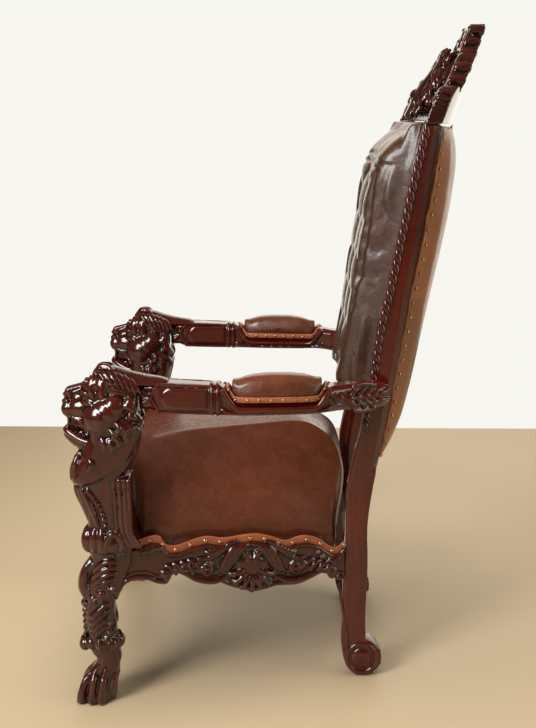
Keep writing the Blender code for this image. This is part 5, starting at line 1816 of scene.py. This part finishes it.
def soft_piece(made, node):
    fit_out(made, node)
    print(made.name, triangles(made), "triangles")


# %% [markdown]
# ## Seat cushion
# The seat is deep and crowned. Its leather is stretched over thick stuffing, so it is smooth,
# with soft wrinkles only at the corners, and it falls steeply to the band at the rails. A rule
# then smooths the crown, leans the sides in and cuts the foot level with the rails.

# %% Seat cushion
SEAT_VOXEL = 0.008
SEAT_ROUNDS = 40
SEAT_FOOT = 0.020
SEAT_LEAN = 0.062
SEAT_SIDE = 0.13


def seat_half_width(y):
    share = (y - RAIL_FRONT[1]) / (RAIL_REAR[1] - RAIL_FRONT[1])
    inner_lip = RAIL_THICKNESS / 2 - RAIL_LIP - 2 * GAP
    return on_side_rail(share * SIDE_RAIL_LENGTH, inner_lip, 0.0)[0] - 0.002


def make_seat():
    made = soft_copy("seat_cushion", "seat_leather", SEAT_VOXEL, 0.004, SEAT_LEATHER, rounds=10)
    swell(made, 0.012, calm=14)
    round_off(made, lambda co: ease((co.z - SEAT_LEDGE - seat_slope(co.y) - 0.012) / 0.06), SEAT_ROUNDS)
    for vert in made.data.vertices:
        x, y, z = vert.co
        ledge = SEAT_LEDGE + seat_slope(y)
        vert.co.z = z if z > ledge + SEAT_FOOT else ledge + GAP
        half = seat_half_width(min(max(y, RAIL_FRONT[1]), RAIL_REAR[1]))
        half -= SEAT_LEAN * max(0.0, (vert.co.z - ledge) / SEAT_SIDE) ** 1.7
        if abs(x) > half or (z < ledge + SEAT_FOOT and abs(x) > half - SEAT_FOOT):
            vert.co.x = math.copysign(half, x)
    round_off(made, lambda co: ease((co.z - SEAT_LEDGE - seat_slope(co.y) - 0.03) / 0.05), 110)
    soft_piece(made, "seat_cushion")


make_seat()

# %% [markdown]
# ## Back cushion with diamond tufting
# Buttons pull the leather into the stuffing at the corners of diamonds, and folds run from
# button to button. The shape follows a rule: two sets of slanting lines cross at the buttons,
# and the leather is deepest there. Geometry Nodes apply that rule to the swelled cushion, by
# moving each point back along the direction stored with it.

# %% Node tree: diamond tufting
def named_number(tree, name):
    return add_node(tree, "GeometryNodeInputNamedAttribute", {"data_type": "FLOAT"},
                    Name=name).outputs["Attribute"]


def make_tuft_tree():
    tree, start = open_tree("diamond tufting", {"Diamond Width": 0.12, "Diamond Height": 0.15,
                                                "Fold Depth": 0.010, "Button Depth": 0.016})
    across = math_node(tree, "DIVIDE", named_number(tree, "across"), start["Diamond Width"])
    upward = math_node(tree, "DIVIDE", named_number(tree, "upward"), start["Diamond Height"])
    waves = []
    for operation in ("ADD", "SUBTRACT"):
        turn = math_node(tree, "MULTIPLY", math_node(tree, operation, across, upward), math.pi)
        waves.append(math_node(tree, "ABSOLUTE", math_node(tree, "SINE", turn)))
    ridge = math_node(tree, "POWER", math_node(tree, "MINIMUM", *waves), 0.55)
    fold = math_node(tree, "MULTIPLY", math_node(tree, "SUBTRACT", 1.0, ridge), start["Fold Depth"])
    crossing = math_node(tree, "POWER", math_node(tree, "MAXIMUM", *waves), 0.45)
    pull = math_node(tree, "MULTIPLY", math_node(tree, "SUBTRACT", 1.0, crossing), start["Button Depth"])
    depth = math_node(tree, "MULTIPLY", math_node(tree, "ADD", fold, pull), named_number(tree, "tufted"))
    inward = add_node(tree, "ShaderNodeVectorMath", {"operation": "SCALE"}, Vector=outward_attribute(tree),
                      Scale=math_node(tree, "MULTIPLY", depth, -1.0))
    move = add_node(tree, "GeometryNodeSetPosition", Geometry=start["Geometry"], Offset=inward.outputs[0])
    return close_tree(tree, start, move.outputs[0])


TUFT_TREE = make_tuft_tree()
print("tufting tree nodes:", len(TUFT_TREE.nodes))

# %% [markdown]
# The border of the cushion is smooth, and two sewn grooves part it from the tufted front. A
# table gives the line of the cushion's front, and the top is raised until it meets the crest.

# %% Back cushion
BACK_LOW = 0.604
BACK_TOP = 1.214
BACK_BOW_LOW = 0.62
LOW_RAIL_LOW = 0.552
RAISE_FROM = 1.05
BACK_VOXEL = 0.0065
DIAMOND_WIDTH = 0.115
DIAMOND_HEIGHT = 0.155
TUFT_MIDDLE = 0.900
CLEARANCE = 0.0008
SEAM_SHARE = 0.74
BORDER_ROLL = 0.060
TOP_ROLL = 0.140
CLOSE_FROM = 1.150
ROLL_DEPTH = 0.082
BACK_FRONT = ((0.603, 0.140), (0.631, 0.128), (0.677, 0.127), (0.791, 0.147), (0.903, 0.161), (1.013, 0.180),
              (1.078, 0.186), (1.222, 0.199))


def bow(x, height):
    share = x / inner_face(height)
    rise = min(1.0, max(0.0, (height - LOW_RAIL_LOW) / (SHOULDER_HEIGHT - LOW_RAIL_LOW) * 1.5))
    return BACK_BOW * (BACK_BOW_LOW + (1 - BACK_BOW_LOW) * rise) * max(0.0, 1 - share * share)


def padding_half(height):
    """Half the width between the posts that leather fills."""
    return inner_face(min(height, SHOULDER_HEIGHT)) - CLEARANCE


def raised(x, z, top):
    """A point's height once the padding's arched top is raised to a level one."""
    edge = BACK_TOP - 0.010 - 0.030 * (x / padding_half(z)) ** 2
    lift = max(0.0, (z - RAISE_FROM) / (edge - RAISE_FROM))
    return min(z + (top - edge) * lift ** 1.5, top)


def seam_distance(x, z):
    """Distance inward from the seam of the tufted front; negative on the border."""
    half = SEAM_SHARE * inner_face(min(z, BACK_TOP))
    round_top = BACK_TOP - 0.078 - 0.22 * max(0.0, abs(x) - 0.10)
    return min(half - abs(x), round_top - z, z - (BACK_LOW + 0.030))


def mark_tufting(made):
    """Store the pattern's directions and where it applies."""
    mesh = made.data
    names = {key: mesh.attributes.new(key, "FLOAT", "POINT") for key in ("across", "upward", "tufted")}
    outward = mesh.attributes.new("outward", "FLOAT_VECTOR", "POINT")
    for index, vert in enumerate(mesh.vertices):
        x, y, z = vert.co
        front = ease((frame_y(z) + bow(x, z) - 0.045 - y) / 0.03)
        names["across"].data[index].value = x
        names["upward"].data[index].value = z - TUFT_MIDDLE
        names["tufted"].data[index].value = front * ease(seam_distance(x, z) / 0.028)
        outward.data[index].vector = (0.0, -1.0, 0.12)


def sew_border(made):
    """Two grooves round the tufted front."""
    for vert in made.data.vertices:
        x, y, z = vert.co
        if y > frame_y(z) + bow(x, z) - 0.040:
            continue
        away = seam_distance(x, z)
        sink = 0.0060 * math.exp(-(away / 0.0045) ** 2) + 0.0045 * math.exp(-((away + 0.017) / 0.0045) ** 2)
        vert.co.y += sink


def tuft_points():
    """The diamonds' corners that lie on the tufted front."""
    points = []
    for row in range(-5, 6):
        for column in range(-5, 6):
            if (row + column) % 2:
                continue
            x = column * DIAMOND_WIDTH / 2
            z = TUFT_MIDDLE + row * DIAMOND_HEIGHT / 2
            if seam_distance(x, z) > 0.012:
                points.append((x, z))
    return points


def make_back():
    made = soft_copy("back_cushion", "back_leather", BACK_VOXEL, 0.003, BACK_LEATHER, rounds=6)
    swell(made, 0.014, calm=9)
    for vert in made.data.vertices:
        half = padding_half(vert.co.z)
        vert.co.x = max(-half, min(half, vert.co.x))
        vert.co.z = raised(vert.co.x, vert.co.z, BACK_TOP + 0.006)
        inset = max(0.0, abs(vert.co.x) - half + BORDER_ROLL) / BORDER_ROLL
        rise = max(0.0, vert.co.z - BACK_TOP + TOP_ROLL) / TOP_ROLL
        roll = ROLL_DEPTH * (1 - math.sqrt(max(0.0, 1 - inset * inset - rise * rise)))
        vert.co.y = max(vert.co.y, between(BACK_FRONT, vert.co.z)[0] + roll)
    round_off(made, lambda co: ease((co.z - RAISE_FROM) / 0.05) * ease((BACK_TOP - co.z) / 0.02), 30)
    for vert in made.data.vertices:
        x, y, z = vert.co
        rear = ease((y - frame_y(z) - bow(x, z) + 0.070) / 0.030)
        vert.co.z += (BACK_TOP + 0.006 - z) * rear * ease((z - CLOSE_FROM) / 0.035)
    sew_border(made)
    mark_tufting(made)
    run_tree(made, TUFT_TREE, Diamond_Width=DIAMOND_WIDTH, Diamond_Height=DIAMOND_HEIGHT,
             Fold_Depth=0.0075, Button_Depth=0.014, Finish=BACK_LEATHER)
    for vert in made.data.vertices:
        back = frame_y(vert.co.z) + bow(vert.co.x, vert.co.z)
        vert.co.y = min(vert.co.y, back - GAP)
    made.data.shade_smooth()
    soft_piece(made, "back_cushion")
    return made


BACK = make_back()

# %% [markdown]
# A covered button sits in each pit. The buttons' places are found by looking at the finished
# leather from the front, and a Geometry Nodes tree puts a flat ball at each of them.

# %% Node tree: buttons on points
def make_button_tree():
    tree, start = open_tree("buttons on points", {"Radius": 0.009, "Dome": 0.5})
    return close_tree(tree, start, domes_on(tree, start, start["Geometry"], 24, 12))


def make_buttons():
    places = []
    for x, z in tuft_points():
        hit, point, normal, face = BACK.ray_cast((x, -1.0, z), (0.0, 1.0, 0.0))
        if hit:
            places.append(point + Vector((0.0, -0.0015, 0.0)))
    made = path_object("back_buttons", places, [(0.0, -1.0, 0.15)] * len(places))
    run_tree(made, make_button_tree(), Radius=0.0095, Dome=0.5, Finish=BACK_LEATHER)
    print(len(places), "buttons")
    fit_out(made, None)


make_buttons()

# %% [markdown]
# ## Leather panel on the rear of the back
# The rear of the back is one bulging panel of lighter leather. The simulation draws its edges
# in, so a rule spreads it to the posts again. Nails hold it at both sides and along its foot,
# and each nail's place is found by looking at the leather from behind.

# %% Rear panel and its nails
PANEL_LOW = 0.490
PANEL_VOXEL = 0.0085
WIDTH_BANDS = 24
NAIL_INSETS = (0.010, 0.016, 0.024)


def fill_width(made):
    """Spread the swollen panel until its edges meet the posts again at every height."""
    size = (BACK_TOP - PANEL_LOW) / WIDTH_BANDS
    reach = [0.0] * (WIDTH_BANDS + 1)
    for vert in made.data.vertices:
        band = max(0, min(WIDTH_BANDS, round((vert.co.z - PANEL_LOW) / size)))
        reach[band] = max(reach[band], abs(vert.co.x))
    widest = 0.0
    for vert in made.data.vertices:
        place = max(0.0, min(WIDTH_BANDS - 0.001, (vert.co.z - PANEL_LOW) / size))
        band = int(place)
        wide = reach[band] + (reach[band + 1] - reach[band]) * (place - band)
        lacking = max(0.0, padding_half(vert.co.z) - wide)
        widest = max(widest, lacking)
        vert.co.x += math.copysign(lacking * min(1.0, abs(vert.co.x) / wide) ** 3, vert.co.x)
    print(made.name, "spread at each edge by at most", round(widest * 1000, 1), "mm")


def make_rear_panel():
    made = soft_copy("back_panel", "rear_leather", PANEL_VOXEL, 0.003, REAR_LEATHER, rounds=8)
    swell(made, 0.008, calm=8)
    fill_width(made)
    for vert in made.data.vertices:
        x, y, z = vert.co
        half = padding_half(z)
        vert.co.x = max(-half, min(half, x))
        vert.co.z = raised(x, z, BACK_TOP + 0.005)
    soft_piece(made, "back_panel")
    return made


PANEL = make_rear_panel()


def on_panel(x, z):
    """Where a nail at x and z meets the leather, or None beside it."""
    hit, point, normal, face = PANEL.ray_cast((x, 1.0, z), (0.0, -1.0, 0.0))
    return point if hit else None


def rear_edge_points(count):
    """The first inset that finds leather, at each height of the left edge."""
    points = []
    for share in shares(count - 1):
        z = PANEL_LOW + 0.012 + (BACK_TOP - 0.034 - PANEL_LOW) * share
        found = [on_panel(inner_face(z) - inset, z) for inset in NAIL_INSETS]
        points += [point for point in found if point][:1]
    return points


def make_rear_nails():
    points = rear_edge_points(60)
    made = nail_row("nails_rear_left", points, [(0.25, 1.0, 0.1)] * len(points))
    fit_out_pair(made, None)
    z = PANEL_LOW + 0.014
    found = [on_panel((inner_face(z) - 0.014) * (2 * share - 1), z) for share in shares(40)]
    points = [point for point in found if point]
    fit_out(nail_row("nails_rear_low", points, [(0.0, 1.0, 0.1)] * len(points)), None)


make_rear_nails()

# %% [markdown]
# ## Arm pads
# A pad is a small bolster in the arm's hollow. The simulation swells it, and a rule keeps it
# above the hollow's floor. A narrow band with nails runs round its foot.

# %% Arm pads, bands and nails
PAD_VOXEL = 0.0042


def make_pad():
    made = soft_copy("arm_pad_left", "pad_leather_left", PAD_VOXEL, 0.002, PAD_LEATHER, rounds=5)
    swell(made, 0.006)
    floor = [(row[0], row[2]) for row in ARM_FORM]
    for vert in made.data.vertices:
        vert.co.z = max(vert.co.z, between(floor, vert.co.y)[0] + GAP)
    soft_piece(made, "arm_pad_left")
    other = mirrored(made, "pad_leather_right")
    soft_piece(other, "arm_pad_right")


def pad_rim(share, out, lift):
    """A point on the pad's rim; the share runs once round."""
    turn = 2 * math.pi * share
    y = PAD_FRONT_Y + PAD_LENGTH / 2 - (PAD_LENGTH / 2 - 0.002 + out) * signed_power(math.cos(turn), 0.55)
    x = arm_axis_x(y) + (ARM_WIDTH / 2 + 0.003 + out) * signed_power(math.sin(turn), 0.5)
    ends = abs(y - PAD_FRONT_Y - PAD_LENGTH / 2) / (PAD_LENGTH / 2)
    base = ARM_HIGH - PAD_HOLLOW + 0.026 * ease((ends - 0.80) / 0.25)
    return Vector((x, y, base + lift))


def make_pad_band():
    rings = []
    for share in shares(96)[:-1]:
        middle = pad_rim(share, 0.001, 0.006)
        away = (pad_rim(share, 0.011, 0.006) - middle).normalized()
        rings.append([middle + away * (0.0028 * signed_power(math.cos(turn), 0.6))
                      + Vector((0, 0, 0.0062 * signed_power(math.sin(turn), 0.7))) for turn in turns(12)])
    bm = bmesh.new()
    skin_rings(bm, rings, endless=True)
    band = new_object("band_pad_left", bm, BAND_LEATHER)
    band.data.shade_smooth()
    points = [pad_rim(share, 0.0040, 0.006) for share in shares(160)]
    outward = [pad_rim(share, 0.014, 0.006) - point for share, point in zip(shares(160), points)]
    nails = nail_row("nails_pad_left", points, outward, spacing=0.0235, radius=0.0036)
    for made in (band, nails):
        fit_out_pair(made, None)


make_pad()
make_pad_band()
